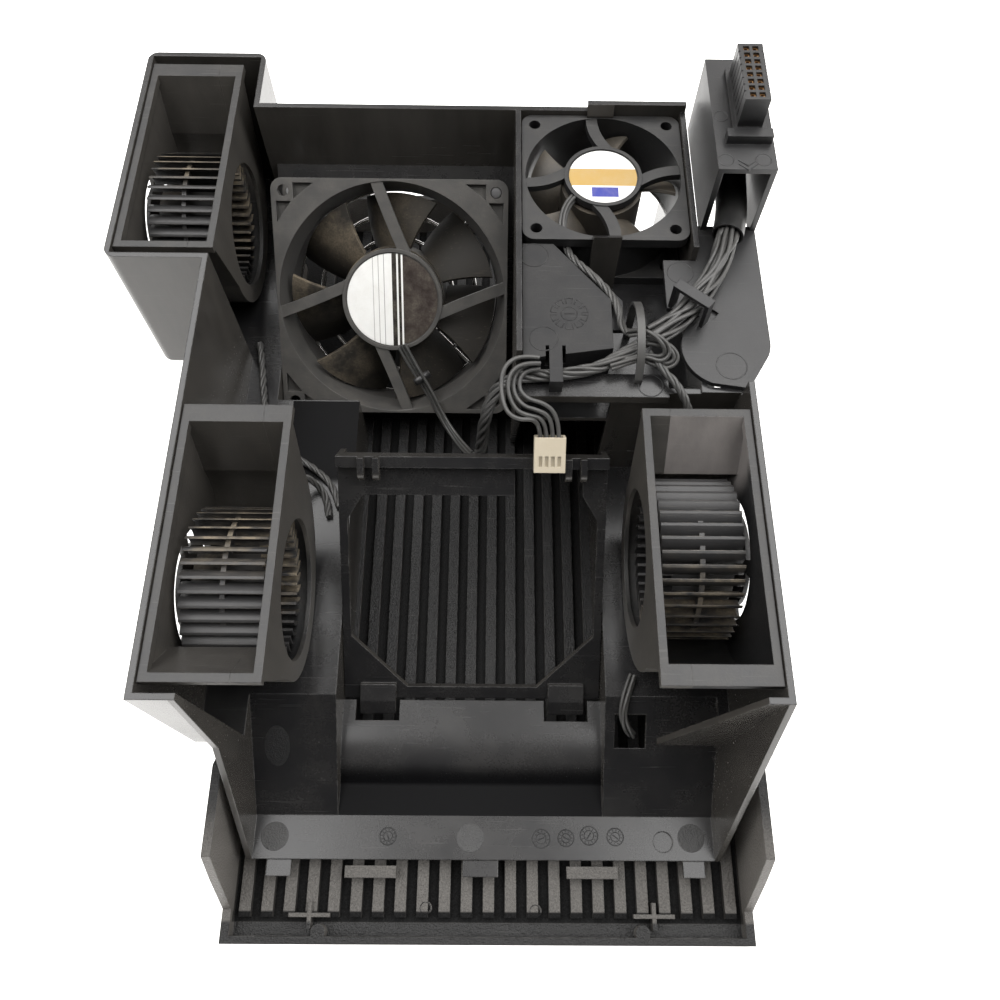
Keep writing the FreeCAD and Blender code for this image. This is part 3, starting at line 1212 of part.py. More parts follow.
# Axial fan with its face at local z = 0 and its depth below; the label side with the struts is the face.
def axial_fan(fan):
    spot = (f"dim.{fan}_x", f"dim.{fan}_y", f"dim.{fan}_z")
    turn = f"dim.{fan}_tilt"
    depth = f"dim.{fan}_depth"
    bore = f"(dim.{fan}_bore / 2)"
    cap = f"dim.{fan}_cap"
    tube_end = f"({depth} - dim.tube_clear)"
    name = f"{fan}_fan"

    body = new_body(f"{name}_frame")
    set_pose(body, spot, turn)
    barrel = sketch_on(body, f"{fan}_barrel_outline", "XY", f"-{depth}")
    circle(barrel, "0", "0", f"{bore} + dim.{fan}_skin")
    pad(body, f"{fan}_barrel", barrel, depth)
    half = f"(dim.{fan}_size / 2)"
    inset = f"({half} - dim.frame_corner)"
    square = [
        (f"-{inset}", f"-{half}"), (inset, f"-{half}"), (half, f"-{inset}"), (half, inset),
        (inset, half), (f"-{inset}", half), (f"-{half}", inset), (f"-{half}", f"-{inset}"),
    ]
    corners = {side: ("dim.frame_corner", 1) for side in (1, 3, 5, 7)}
    for end, start in (("face", "-dim.frame_flange"), ("back", f"-{depth}")):
        flange = outline(sketch_on(body, f"{fan}_{end}_outline", "XY", start), square, corners)
        pad(body, f"{fan}_{end}_flange", flange, "dim.frame_flange")
    passage = circle(sketch_on(body, f"{fan}_bore_outline", "XY"), "0", "0", bore)
    pocket(body, f"{fan}_bore", passage, depth, backward=True)
    hole_at = f"(dim.{fan}_pitch / 2)"
    hole = circle(sketch_on(body, f"{fan}_hole_outline", "XY"), hole_at, hole_at, "dim.screw_hole")
    polar(body, f"{fan}_holes", pocket(body, f"{fan}_hole", hole, depth, backward=True), "4")
    if fan == "large":
        mouth = sketch_on(body, "large_flare_outline", "XZ")
        outline(mouth, [(f"{bore} - 1", "-dim.large_flare"), (bore, "-dim.large_flare"),
                        (f"{bore} + dim.large_skin - 0.2", "0"), (f"{bore} + dim.large_skin - 0.2", "1"),
                        (f"{bore} - 1", "1")])
        flare = body.newObject("PartDesign::Groove", "large_flare_cut")
        flare.Profile = mouth
        flare.ReferenceAxis = (mouth, ["V_Axis"])
        flare.Angle = 360
        body.Tip = flare
        window = sketch_on(body, "large_corner_outline", "XY")
        near = "(dim.large_pitch / 2 - dim.screw_hole * 1.8)"
        apart = f"({near} + 0.9)"
        edge = f"({half} - dim.frame_web)"
        end = f"({near} * 0.79)"
        outline(window, [(near, apart), (near, edge), (end, edge)])
        outline(window, [(apart, near), (edge, end), (edge, near)])
        polar(body, "large_corners",
              pocket(body, "large_corner", window, "dim.frame_flange * 0.6", backward=True), "4")

    strut = sketch_on(body, f"{fan}_strut_outline", "XY", "-dim.cap_thick")
    lean = f"dim.{fan}_strut_turn"
    start = f"({cap} / 2)"
    edges = [f"(dim.{fan}_strut_offset {sign} dim.{fan}_strut / 2)" for sign in "+-"]
    ends = [f"sqrt(({bore} + dim.{fan}_skin * 0.96) ^ 2 - {edge} ^ 2)" for edge in edges]
    path = [(start, edges[0]), (ends[0], edges[0]), (ends[1], edges[1]), (start, edges[1])]
    bends = {0: (f"dim.{fan}_strut_bow", -1), 2: (f"dim.{fan}_strut_bow", 1)}
    outline(strut, [
        (f"{along} * cos({lean}) + {across} * sin({lean})",
         f"{along} * sin({lean}) - {across} * cos({lean})") for along, across in path], bends)
    polar(body, f"{fan}_struts", pad(body, f"{fan}_strut", strut, "dim.cap_thick - 0.4"), "4")
    disc = circle(sketch_on(body, f"{fan}_cap_outline", "XY", "-dim.cap_thick"), "0", "0", cap)
    pad(body, f"{fan}_cap", disc, "dim.cap_thick")
    recess = circle(sketch_on(body, f"{fan}_recess_outline", "XY"), "0", "0", f"{cap} - dim.cap_rim")
    pocket(body, f"{fan}_recess", recess, "dim.label_sink", backward=True)
    tube = circle(sketch_on(body, f"{fan}_tube_outline", "XY", f"-{tube_end}"), "0", "0", TUBE_RADIUS)
    pad(body, f"{fan}_tube", tube, f"{tube_end} - dim.cap_thick")
    seat = circle(sketch_on(body, f"{fan}_bearing_outline", "XY", f"-{tube_end}"), "0", "0",
                  "dim.bearing_radius + dim.running_gap")
    pocket(body, f"{fan}_bearing_seat", seat, f"{tube_end} - dim.cap_thick")

    floor = f"({depth} - dim.hub_clear - dim.hub_skin)"
    impeller(fan, name, spot, turn)
    hub_inner = f"(dim.{fan}_hub - dim.hub_skin)"
    yoke_inner = f"({hub_inner} - dim.running_gap - dim.yoke_thick)"
    magnet_outer = f"({yoke_inner} - dim.running_gap)"
    top = "(dim.cap_thick + dim.hub_lift)"
    round_piece(f"{name}_yoke", spot, turn, f"-{floor}", f"{floor} - {top} - 1",
                f"{hub_inner} - dim.running_gap", yoke_inner)
    stator_at = f"-({top} + dim.stator_drop + dim.stator_tall)"
    round_piece(f"{name}_magnet", spot, turn, stator_at, "dim.stator_tall",
                magnet_outer, f"dim.{fan}_stator + dim.air_gap")
    stator(f"{name}_stator", spot, turn, stator_at, f"dim.{fan}_stator")
    round_piece(f"{name}_shaft", spot, turn, f"-{floor}", f"{floor} - dim.cap_thick - dim.seat_gap",
                "dim.shaft_radius")
    bearings(f"{name}_bearings", spot, turn, ("-dim.cap_thick - dim.bearing_long", f"-{tube_end}"))
    round_piece(f"{name}_board", spot, turn, "-dim.cap_thick - dim.board_thick", "dim.board_thick",
                f"dim.{fan}_stator", f"{TUBE_RADIUS} + dim.running_gap")


# Hub with twisted, swept blades lofted through three cambered sections and trimmed to the tip circle.
def impeller(fan, name, spot, turn):
    depth = f"dim.{fan}_depth"
    hub = f"dim.{fan}_hub"
    bottom = f"({depth} - dim.hub_clear)"
    floor = f"({bottom} - dim.hub_skin)"
    top = "(dim.cap_thick + dim.hub_lift)"
    tip = f"(dim.{fan}_bore / 2 - dim.tip_gap)"
    body = new_body(f"{name}_impeller")
    set_pose(body, spot, turn)
    cup = circle(sketch_on(body, f"{fan}_hub_outline", "XY", f"-{bottom}"), "0", "0", hub)
    pad(body, f"{fan}_hub_block", cup, f"{bottom} - {top}")
    hollow = circle(sketch_on(body, f"{fan}_hub_inside", "XY", f"-{floor}"),
                    "0", "0", f"{hub} - dim.hub_skin")
    pocket(body, f"{fan}_hub_hollow", hollow, f"{floor} - {top}")
    boss = ring_sketch(body, f"{fan}_boss_outline", f"-{floor}", "dim.boss_radius",
                       "dim.shaft_radius + dim.running_gap / 2")
    pad(body, f"{fan}_boss", boss, "dim.boss_tall")
    middle = f"-(({bottom} + {top}) / 2)"
    sections = []
    for place_name, share in (("root", "0"), ("middle", "0.5"), ("tip", "1")):
        radius = f"({hub} - 0.8 + ({tip} + 2.5 - {hub} + 0.8) * {share})"
        chord = f"(dim.{fan}_root_chord + (dim.{fan}_tip_chord - dim.{fan}_root_chord) * {share})"
        pitch = f"(dim.{fan}_root_pitch + (dim.{fan}_tip_pitch - dim.{fan}_root_pitch) * {share})"
        shift = f"(dim.{fan}_sweep * {share} * {share})"
        run = f"({chord} / 2 * cos({pitch}))"
        rise = f"({chord} / 2 * sin({pitch}))"
        thick_run = f"(dim.blade_thick * sin({pitch}))"
        thick_rise = f"(dim.blade_thick * cos({pitch}))"
        section = sketch_on(body, f"{fan}_{place_name}_section", "XZ", radius)
        outline(section, [
            (f"{shift} - {run}", f"{middle} - {rise}"), (f"{shift} + {run}", f"{middle} + {rise}"),
            (f"{shift} + {run} - {thick_run}", f"{middle} + {rise} + {thick_rise}"),
            (f"{shift} - {run} - {thick_run}", f"{middle} - {rise} + {thick_rise}"),
        ], {0: (f"{chord} * 1.1", -1), 2: (f"{chord} * 1.1", 1)})
        sections.append(section)
    blade = body.newObject("PartDesign::AdditiveLoft", f"{fan}_blade")
    blade.Profile = sections[0]
    blade.Sections = sections[1:]
    polar(body, f"{fan}_blades", blade, f"dim.{fan}_blades")
    trim = sketch_on(body, f"{fan}_tip_outline", "XZ")
    rectangle(trim, tip, f"-{depth} - 10", f"{tip} + 25", "10")
    groove = body.newObject("PartDesign::Groove", f"{fan}_tips")
    groove.Profile = trim
    groove.ReferenceAxis = (trim, ["V_Axis"])
    groove.Angle = 360
    body.Tip = groove
    return body


# Wire guard on the back of the large fan's seat, and the screws that hold both.
def finger_guard():
    spot = ("dim.large_x", "dim.large_y", "dim.large_z")
    level = "-(dim.large_depth + dim.wall + dim.guard_wire)"
    wires = []
    for number in range(int(value("dim.guard_rings"))):
        ring = f"dim.guard_first + {number} * dim.guard_step"
        wires.append(primitive("Torus", f"guard_ring_{number + 1}", ("0", "0", level),
                               Radius1=ring, Radius2="dim.guard_wire"))
    reach = "(dim.large_pitch / sqrt(2) - dim.guard_eye)"
    for number, angle in enumerate((45, 135), start=1):
        spoke = primitive("Cylinder", f"guard_spoke_{number}", Radius="dim.guard_wire", Height=f"{reach} * 2")
        lying = Rotation(Vector(0, 1, 0), 90)
        spoke.Placement = Placement(Vector(), Rotation(Vector(0, 0, 1), angle) * lying)
        spoke.setExpression("Placement.Base.x", f"-{reach} * cos({angle})")
        spoke.setExpression("Placement.Base.y", f"-{reach} * sin({angle})")
        spoke.setExpression("Placement.Base.z", level)
        wires.append(spoke)
    screws = []
    half = "(dim.large_pitch / 2)"
    head_at = f"({level} - dim.guard_wire - dim.screw_head_tall)"
    for number, (across, along) in enumerate(((1, 1), (-1, 1), (-1, -1), (1, -1)), start=1):
        x = f"{half} * {across}"
        y = f"{half} * {along}"
        wires.append(primitive("Torus", f"guard_eye_{number}", (x, y, level),
                               Radius1="dim.guard_eye", Radius2="dim.guard_wire"))
        head = primitive("Cylinder", f"guard_screw_head_{number}", (x, y, head_at),
                         Radius="dim.screw_head", Height="dim.screw_head_tall")
        shank = primitive("Cylinder", f"guard_screw_shank_{number}", (x, y, head_at),
                          Radius="dim.screw_hole - dim.seat_gap",
                          Height="dim.screw_head_tall + dim.screw_long")
        screws.append(boolean("MultiFuse", f"guard_screw_{number}", head, shank))
    for name, piece in (("finger_guard", boolean("MultiFuse", "finger_guard", *wires)),
                        ("guard_screws", boolean("Compound", "guard_screws", *screws))):
        label(piece, name)
        set_pose(piece, spot, "dim.large_tilt")


# Blower with its wheel axis along local Z, its throat towards +X and its outlet up, towards +Y.
def blower(name, spot, turn):
    start = "(-dim.blower_wide / 2)"
    split = "(dim.base_wide - dim.blower_wide / 2)"
    top = "dim.wheel_drop"
    front = "(dim.outlet_shift - dim.blower_long / 2)"
    rear = "(dim.outlet_shift + dim.blower_long / 2)"
    skin = "dim.blower_skin"
    outer = "dim.scroll_radius"
    inner = f"(dim.scroll_radius - {skin})"
    throat = f"({rear} - dim.throat_lip)"
    tongue = f"({front} + dim.tongue_lip)"
    shell = [
        (f"{tongue} - {skin}", top), (f"-{outer}", "0"), ("0", f"-{outer}"),
        (f"{outer} + dim.scroll_rise", "dim.scroll_rise"), (f"{throat} + {skin}", top),
    ]
    shell_arcs = {1: (outer, 1), 2: (f"{outer} + dim.scroll_rise", 1)}
    cavity = [
        (tongue, f"{top} + 1"), (f"-{inner} * cos(dim.tongue_angle)", f"{inner} * sin(dim.tongue_angle)"),
        ("0", f"-{inner}"), (f"{inner} + dim.scroll_rise", "dim.scroll_rise"), (throat, f"{top} + 1"),
    ]
    cavity_arcs = {1: (inner, 1), 2: (f"{inner} + dim.scroll_rise", 1)}

    for part, at, wide in (("base", start, "dim.base_wide"),
                           ("cover", split, "(dim.blower_wide - dim.base_wide)")):
        body = new_body(f"{name}_blower_{part}")
        set_pose(body, spot, turn)
        key = f"{name}_{part}"
        pad(body, f"{key}_scroll", outline(sketch_on(body, f"{key}_scroll_outline", "XY", at),
                                           shell, shell_arcs), wide)
        flange = rectangle(sketch_on(body, f"{key}_flange_outline", "XY", at),
                           front, f"{top} - dim.outlet_flange", rear, top)
        pad(body, f"{key}_flange", flange, wide)
        inside_at = f"{at} + {skin}" if part == "base" else at
        hollow = outline(sketch_on(body, f"{key}_inside_outline", "XY", inside_at), cavity, cavity_arcs)
        pocket(body, f"{key}_hollow", hollow, f"{wide} - {skin}")
        lip_at = at if part == "base" else f"{at} + {wide} - dim.side_lip"
        lip = rectangle(sketch_on(body, f"{key}_lip_outline", "XY", lip_at),
                        front, f"{top} - dim.outlet_flange", rear, top)
        pad(body, f"{key}_lip", lip, "dim.side_lip")
        if part == "cover":
            inlet = circle(sketch_on(body, f"{key}_inlet_outline", "XY", at), "0", "0", "dim.blower_inlet")
            pocket(body, f"{key}_inlet", inlet, f"{wide} + 1")
            continue
        angle = "(60 - dim.spoke_angle / 2)"
        near = "dim.motor_plate"
        far = "dim.base_inlet"
        window = sketch_on(body, f"{key}_inlet_outline", "XY", f"{at} - 1")
        outline(window, [
            (f"{near} * cos({angle})", f"-{near} * sin({angle})"),
            (f"{far} * cos({angle})", f"-{far} * sin({angle})"),
            (f"{far} * cos({angle})", f"{far} * sin({angle})"),
            (f"{near} * cos({angle})", f"{near} * sin({angle})"),
        ], {1: (far, 1), 3: (near, -1)})
        polar(body, f"{key}_inlets", pocket(body, f"{key}_inlet", window, f"{skin} + 2"), "3")
        tube = circle(sketch_on(body, f"{key}_tube_outline", "XY", f"{at} + {skin}"), "0", "0", TUBE_RADIUS)
        pad(body, f"{key}_tube", tube, "dim.blower_tube")
        seat = circle(sketch_on(body, f"{key}_seat_outline", "XY", f"{at} + {skin} + dim.blower_tube"),
                      "0", "0", "dim.bearing_radius + dim.running_gap")
        pocket(body, f"{key}_seat", seat, "dim.blower_tube", backward=True)

    plate = f"({start} + {skin})"
    blower_wheel(name, spot, turn)
    hub_inner = "(dim.wheel_hub - dim.hub_skin)"
    stator_at = f"({plate} + dim.blower_stator_lift)"
    round_piece(f"{name}_blower_magnet", spot, turn, stator_at, "dim.stator_tall",
                f"{hub_inner} - dim.running_gap", "dim.blower_stator + dim.air_gap")
    stator(f"{name}_blower_stator", spot, turn, stator_at, "dim.blower_stator")
    round_piece(f"{name}_blower_shaft", spot, turn, f"{plate} + dim.seat_gap",
                f"dim.wheel_web / 2 - {plate} - dim.seat_gap", "dim.shaft_radius")
    bearings(f"{name}_blower_bearings", spot, turn,
             (plate, f"{plate} + dim.blower_tube - dim.bearing_long"))


# Double-inlet wheel: a web with a motor hub and forward-curved blades standing out at both sides.
def blower_wheel(name, spot, turn):
    body = new_body(f"{name}_blower_wheel")
    set_pose(body, spot, turn)
    key = f"{name}_wheel"
    rim = "(dim.wheel_radius - dim.wheel_blade_depth)"
    web = circle(sketch_on(body, f"{key}_web_outline", "XY", "-dim.wheel_web / 2"), "0", "0",
                 f"{rim} + dim.wheel_blade_depth * 0.7")
    pad(body, f"{key}_web", web, "dim.wheel_web")
    hub_at = f"(dim.blower_skin - dim.blower_wide / 2 + dim.hub_rise)"
    hub = ring_sketch(body, f"{key}_hub_outline", hub_at, "dim.wheel_hub", "dim.wheel_hub - dim.hub_skin")
    pad(body, f"{key}_hub", hub, f"-{hub_at}")
    bore = circle(sketch_on(body, f"{key}_bore_outline", "XY", "-dim.wheel_web"), "0", "0",
                  "dim.shaft_radius + dim.running_gap / 2")
    pocket(body, f"{key}_bore", bore, "dim.wheel_web * 2")
    blade = sketch_on(body, f"{key}_blade_outline", "XY", "-dim.wheel_wide / 2")
    half = "dim.wheel_blade_thick / 2"
    lean = "dim.wheel_blade_lean"
    tip = f"sqrt(dim.wheel_radius ^ 2 - ({lean} + {half}) ^ 2)"
    outline(blade, [
        (rim, f"-{half}"), (tip, f"{lean} - {half}"), (tip, f"{lean} + {half}"), (rim, half),
    ], {0: ("dim.wheel_blade_bow", 1), 2: ("dim.wheel_blade_bow", -1)})
    polar(body, f"{key}_blades", pad(body, f"{key}_blade", blade, "dim.wheel_wide"), "dim.wheel_blades")
    return body


# A wire's path: straight runs joined by tangent arcs, each as large as its two runs allow.
def wire_path(name, points):
    spots = [Vector(*point) for point in points]
    edges = []
    radii = []
    here = spots[0]
    for before, corner, after in zip(spots, spots[1:], spots[2:]):
        back = (before - corner).normalize()
        ahead = (after - corner).normalize()
        shorter = min((corner - before).Length, (after - corner).Length)
        cut = 0.45 * shorter
        turn = math.pi - back.getAngle(ahead)
        radii.append(cut / math.tan(turn / 2))
        first = corner + back * cut
        last = corner + ahead * cut
        inward = (back + ahead).normalize()
        middle = corner + inward * (radii[-1] / math.cos(turn / 2) - radii[-1])
        edges.append(Part.LineSegment(here, first).toShape())
        edges.append(Part.Arc(first, middle, last).toShape())
        here = last
    edges.append(Part.LineSegment(here, spots[-1]).toShape())
    print(f"{name}: bend radii " + " ".join(f"{radius:.1f}" for radius in radii))
    return Part.Wire(edges)


def wire_solid(name, points, diameter):
    path = wire_path(name, points)
    start = path.OrderedVertexes[0].Point
    heading = Vector(*points[1]) - Vector(*points[0])
    profile = Part.Wire([Part.Circle(start, heading, diameter / 2).toShape()])
    solid = path.makePipeShell([profile], True, True)
    expected = math.pi * diameter ** 2 / 4 * path.Length
    if abs(solid.Volume - expected) > 0.01 * expected:
        raise RuntimeError(f"{name}: {solid.Volume:.0f} mm3, not {expected:.0f}")
    return solid


def wire_piece(name, diameter, *routes):
    piece = doc.addObject("Part::Feature", name)
    solids = [wire_solid(name, route, value(diameter)) for route in routes]
    piece.Shape = solids[0] if len(solids) == 1 else Part.makeCompound(solids)
    return label(piece, name)


# Routes of the wires, held along the ledge, the shelf and the floors.
TRUNK_ROUTE = [
    (107.2, 108.8, 112.5), (107.0, 108.0, 105.0), (106.8, 97.0, 101.7), (105.6, 79.0, 101.5),
    (100.6, 61.0, 100.5), (92.3, 46.0, 100.1), (83.2, 34.8, 99.9), (73.6, 28.4, 99.5),
]
SHELF_ROUTE = [
    (72.85, 27.9, 99.0), (65.2, 23.6, 96.8), (55.0, 18.4, 95.1), (44.0, 16.4, 94.7), (34.0, 15.6, 94.8),
    (26.6, 14.8, 94.7), (20.4, 11.4, 90.2), (17.8, 7.6, 80.0), (16.8, 6.8, 66.0), (15.8, 9.0, 51.0),
    (14.2, 13.4, 39.0), (13.0, 17.0, 31.5),
]
SMALL_LEAD_ROUTE = [
    (46.2, 72.2, 93.9), (47.4, 66.2, 94.8), (54.0, 58.0, 96.5), (60.6, 50.0, 96.6), (64.0, 41.5, 96.6),
    (64.2, 33.5, 97.2), (66.5, 30.2, 99.4),
]
LARGE_LEAD_ROUTE = [
    (-16.2, 61.0, 45.6), (-11.0, 54.1, 39.2), (-5.0, 46.9, 32.3), (-0.6, 39.4, 25.9), (3.5, 32.6, 24.0),
    (8.2, 25.0, 25.6), (12.0, 18.6, 29.6),
]
RIGHT_LEAD_ROUTE = [
    (72.9, 23.6, 97.6), (76.4, 19.4, 96.2), (81.4, 13.4, 95.8), (85.6, 7.4, 92.6), (87.6, 4.8, 85.5),
    (88.6, 0.6, 79.4), (89.0, -5.4, 77.0),
]
REAR_LEFT_LEAD_ROUTE = [
    (-76.2, 66.0, 38.3), (-74.0, 56.0, 38.3), (-72.6, 45.0, 38.3), (-70.4, 33.0, 38.3), (-65.0, 22.0, 38.3),
    (-57.0, 13.5, 38.3), (-48.0, 8.0, 38.3), (-40.5, 1.0, 38.3), (-37.6, -8.0, 38.3),
]
FRONT_LEFT_LEAD_ROUTE = [
    (-56.0, -2.4, 52.0), (-51.0, 1.6, 46.0), (-46.0, 0.6, 40.4), (-42.4, -5.0, 38.3), (-41.4, -12.0, 38.3),
]
# The four loose wires to the spare plug, from the outer loop to the inner one.
SPARE_ROUTES = [
    [(35.8, 18.5, 101.5), (29.4, 19.0, 102.4), (23.9, 15.0, 101.6), (22.9, 8.6, 98.2), (24.8, 1.0, 95.8),
     (29.2, -1.2, 94.6), (33.6, -0.2, 93.6), (36.0, -0.4, 89.6), (36.6, -3.1, 85.9)],
    [(36.2, 16.6, 101.0), (30.8, 16.8, 101.2), (25.9, 13.6, 100.0), (25.2, 7.9, 97.0), (28.0, 2.8, 94.0),
     (32.2, 1.4, 93.0), (36.4, 1.6, 91.4), (38.4, -0.3, 88.0), (38.7, -3.4, 85.3)],
    [(36.2, 17.7, 99.4), (31.4, 17.6, 99.3), (27.3, 13.9, 97.5), (27.3, 8.75, 95.0), (30.6, 4.6, 93.6),
     (35.2, 3.2, 93.6), (38.8, 2.4, 92.0), (40.6, 0.0, 88.2), (40.8, -3.7, 85.1)],
    [(36.2, 15.9, 98.7), (32.2, 15.8, 98.6), (29.3, 13.2, 97.4), (29.3, 9.5, 95.5), (32.4, 6.6, 94.6),
     (37.0, 5.2, 95.0), (40.8, 3.6, 92.6), (42.7, 0.2, 88.4), (42.9, -3.9, 85.0)],
]


# Wrap on the bundle where it leaves the tower: a thin tube on the same path.
def harness_sleeve():
    path = Part.Wire(wire_path("harness_sleeve", TRUNK_ROUTE).OrderedEdges[3:6])
    start = path.OrderedVertexes[0].Point
    heading = path.OrderedEdges[0].tangentAt(path.OrderedEdges[0].FirstParameter)
    tubes = []
    for radius in (value("dim.trunk_wire / 2 + dim.seat_gap + dim.sleeve_skin"),
                   value("dim.trunk_wire / 2 + dim.seat_gap")):
        profile = Part.Wire([Part.Circle(start, heading, radius).toShape()])
        tubes.append(path.makePipeShell([profile], True, True))
    piece = doc.addObject("Part::Feature", "harness_sleeve")
    piece.Shape = tubes[0].cut(tubes[1])
    return label(piece, "harness_sleeve")


# Strap tie that arches over the end of the bundle, from the tray's floor to the shelf.
def cable_tie():
    body = new_body("cable_tie")
    inner = "dim.tie_radius"
    outer = "(dim.tie_radius + dim.tie_thick)"
    foot = "(dim.tie_z + dim.tie_foot)"
    inner_half = f"sqrt({inner} ^ 2 - dim.tie_foot ^ 2)"
    outer_half = f"sqrt({outer} ^ 2 - dim.tie_foot ^ 2)"
    floor = f"{TRAY_FLOOR} + 0.1"
    shelf = "dim.shelf_height + 0.1"
    tie = sketch_on(body, "tie_outline", "YZ", "dim.tie_x - dim.tie_wide / 2")
    outline(tie, [
        (f"dim.tie_y + {outer_half}", floor), (f"dim.tie_y + {outer_half}", foot),
        (f"dim.tie_y - {outer_half}", foot), (f"dim.tie_y - {outer_half}", shelf),
        (f"dim.tie_y - {inner_half}", shelf), (f"dim.tie_y - {inner_half}", foot),
        (f"dim.tie_y + {inner_half}", foot), (f"dim.tie_y + {inner_half}", floor),
    ], {1: (outer, 1), 5: (inner, -1)})
    pad(body, "tie_band", tie, "dim.tie_wide")
    return body


# Loose plug for the empty bay, lying on the bay's top bar.
def spare_plug():
    body = new_body("spare_plug")
    along = "(dim.bay_long / 2 + dim.plug_over)"
    above = "(dim.bay_bar + dim.seat_gap)"
    set_pose(body, (
        "(dim.channel_left + dim.channel_right) / 2 + dim.plug_shift",
        f"dim.bay_y + {along} * cos(dim.bay_tilt) - {above} * sin(dim.bay_tilt)",
        f"dim.bay_z + {along} * sin(dim.bay_tilt) + {above} * cos(dim.bay_tilt)",
    ), "dim.bay_tilt")
    half = "(dim.plug_wide / 2)"
    block = rectangle(sketch_on(body, "plug_outline", "XY"), f"-{half}", "-dim.plug_long", half, "0")
    pad(body, "plug_block", block, "dim.plug_tall")
    entry = sketch_on(body, "plug_entry_outline", "XZ", "0")
    rectangle(entry, "dim.plug_skin - dim.plug_wide / 2", "dim.plug_skin",
              "dim.plug_wide / 2 - dim.plug_skin", "dim.plug_tall - dim.plug_skin")
    pocket(body, "plug_entry", entry, "dim.plug_deep")
    slots = sketch_on(body, "plug_slots_outline", "XY", "dim.plug_tall")
    for number in range(4):
        middle = f"({number} - 1.5) * dim.plug_pitch"
        rectangle(slots, f"{middle} - dim.plug_slot / 2", "-dim.plug_long + 2",
                  f"{middle} + dim.plug_slot / 2", "-dim.plug_long + 2 + dim.plug_slot * 3")
    pocket(body, "plug_slots", slots, "dim.plug_skin", backward=True)
    return body


def wires():
    wire_piece("harness_trunk", "dim.trunk_wire", TRUNK_ROUTE)
    wire_piece("shelf_wires", "dim.shelf_wire", SHELF_ROUTE)
    wire_piece("small_fan_lead", "dim.fan_wire", SMALL_LEAD_ROUTE)
    wire_piece("large_fan_lead", "dim.fan_wire", LARGE_LEAD_ROUTE)
    wire_piece("right_blower_lead", "dim.fan_wire", RIGHT_LEAD_ROUTE)
    wire_piece("left_blower_leads", "dim.fan_wire", REAR_LEFT_LEAD_ROUTE, FRONT_LEFT_LEAD_ROUTE)
    for number, route in enumerate(SPARE_ROUTES, start=1):
        wire_piece(f"spare_wire_{number}", "dim.lead_wire", route)


outer_cover()
air_duct()
fan_bay_frame()
wire_cover()
connector_bracket()
connector()
axial_fan("large")
axial_fan("small")
finger_guard()
ALONG_X = Rotation(Vector(1, 1, 1), 120)
TURNED = Rotation(Vector(0, 0, 1), 180) * ALONG_X
blower("rear_left", ("dim.rear_left_x", "dim.rear_left_y - dim.outlet_shift", WHEEL_HEIGHT), ALONG_X)
blower("front_left", ("dim.front_left_x", "dim.front_y - dim.outlet_shift", WHEEL_HEIGHT), ALONG_X)
blower("right", ("dim.right_x", "dim.front_y + dim.outlet_shift", WHEEL_HEIGHT), TURNED)
wires()
harness_sleeve()
cable_tie()
spare_plug()

doc.recompute()
failed = [piece.Label for piece in doc.Objects if {"Invalid", "Error"} & set(piece.State)]
for piece in nodes:
    if piece.Shape.isNull() or not piece.Shape.isValid():
        failed.append(piece.Label)
if failed:
    raise RuntimeError(f"not built: {failed}")
os.makedirs("parts", exist_ok=True)
for piece in nodes:
    piece.Shape.exportStep(os.path.join("parts", f"{piece.Label}.step"))
    box = piece.Shape.BoundBox
    print(f"{piece.Label}: {len(piece.Shape.Solids)} solid(s), {piece.Shape.Volume:.0f} mm3, "
          f"{box.XLength:.1f} x {box.YLength:.1f} x {box.ZLength:.1f} mm")
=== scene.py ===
import math
import random

import bmesh
import bpy
from mathutils import Matrix, Vector


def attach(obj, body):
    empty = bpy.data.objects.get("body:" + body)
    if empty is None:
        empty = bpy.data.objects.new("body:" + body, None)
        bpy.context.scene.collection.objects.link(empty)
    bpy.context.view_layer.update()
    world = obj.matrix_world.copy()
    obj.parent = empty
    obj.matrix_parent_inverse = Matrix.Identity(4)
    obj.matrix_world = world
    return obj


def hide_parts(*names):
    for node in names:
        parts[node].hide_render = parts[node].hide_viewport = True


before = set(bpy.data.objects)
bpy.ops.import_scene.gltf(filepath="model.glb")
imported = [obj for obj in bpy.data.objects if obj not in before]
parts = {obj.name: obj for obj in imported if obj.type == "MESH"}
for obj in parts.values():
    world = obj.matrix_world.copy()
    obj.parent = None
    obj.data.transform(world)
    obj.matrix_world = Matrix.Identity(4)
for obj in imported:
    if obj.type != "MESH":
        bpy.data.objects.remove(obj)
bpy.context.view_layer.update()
print("frame: %d parts" % len(parts))

# camera where the photograph was taken from
camera = {
    "spot": (0.0208, -0.1489, 0.3545),
    "down": 65.44,  # degrees below level
    "yaw": 1.09,
    "roll": 1.50,
    "lens": 32.67,
    "sensor": 36.0,
    "nearest": 0.01,
}


def placeCamera(view):
    down = math.radians(view["down"])
    yaw = math.radians(view["yaw"])
    roll = math.radians(view["roll"])
    ahead = Vector((math.sin(yaw) * math.cos(down), math.cos(yaw) * math.cos(down), -math.sin(down)))
    level = Vector((math.cos(yaw), -math.sin(yaw), 0))
    upright = level.cross(ahead)
    side = math.cos(roll) * level + math.sin(roll) * upright
    top = -math.sin(roll) * level + math.cos(roll) * upright
    turn = Matrix((side, top, -ahead)).transposed().to_4x4()
    data = bpy.data.cameras.new("studioCamera")
    data.lens = view["lens"]
    data.sensor_width = view["sensor"]
    data.sensor_fit = "HORIZONTAL"
    data.clip_start = view["nearest"]
    holder = bpy.data.objects.new("studioCamera", data)
    holder.matrix_world = Matrix.Translation(view["spot"]) @ turn
    bpy.context.scene.collection.objects.link(holder)
    bpy.context.scene.camera = holder


placeCamera(camera)
print("camera placed")


def show(piece):
    bpy.context.scene.collection.objects.link(piece)
    return piece


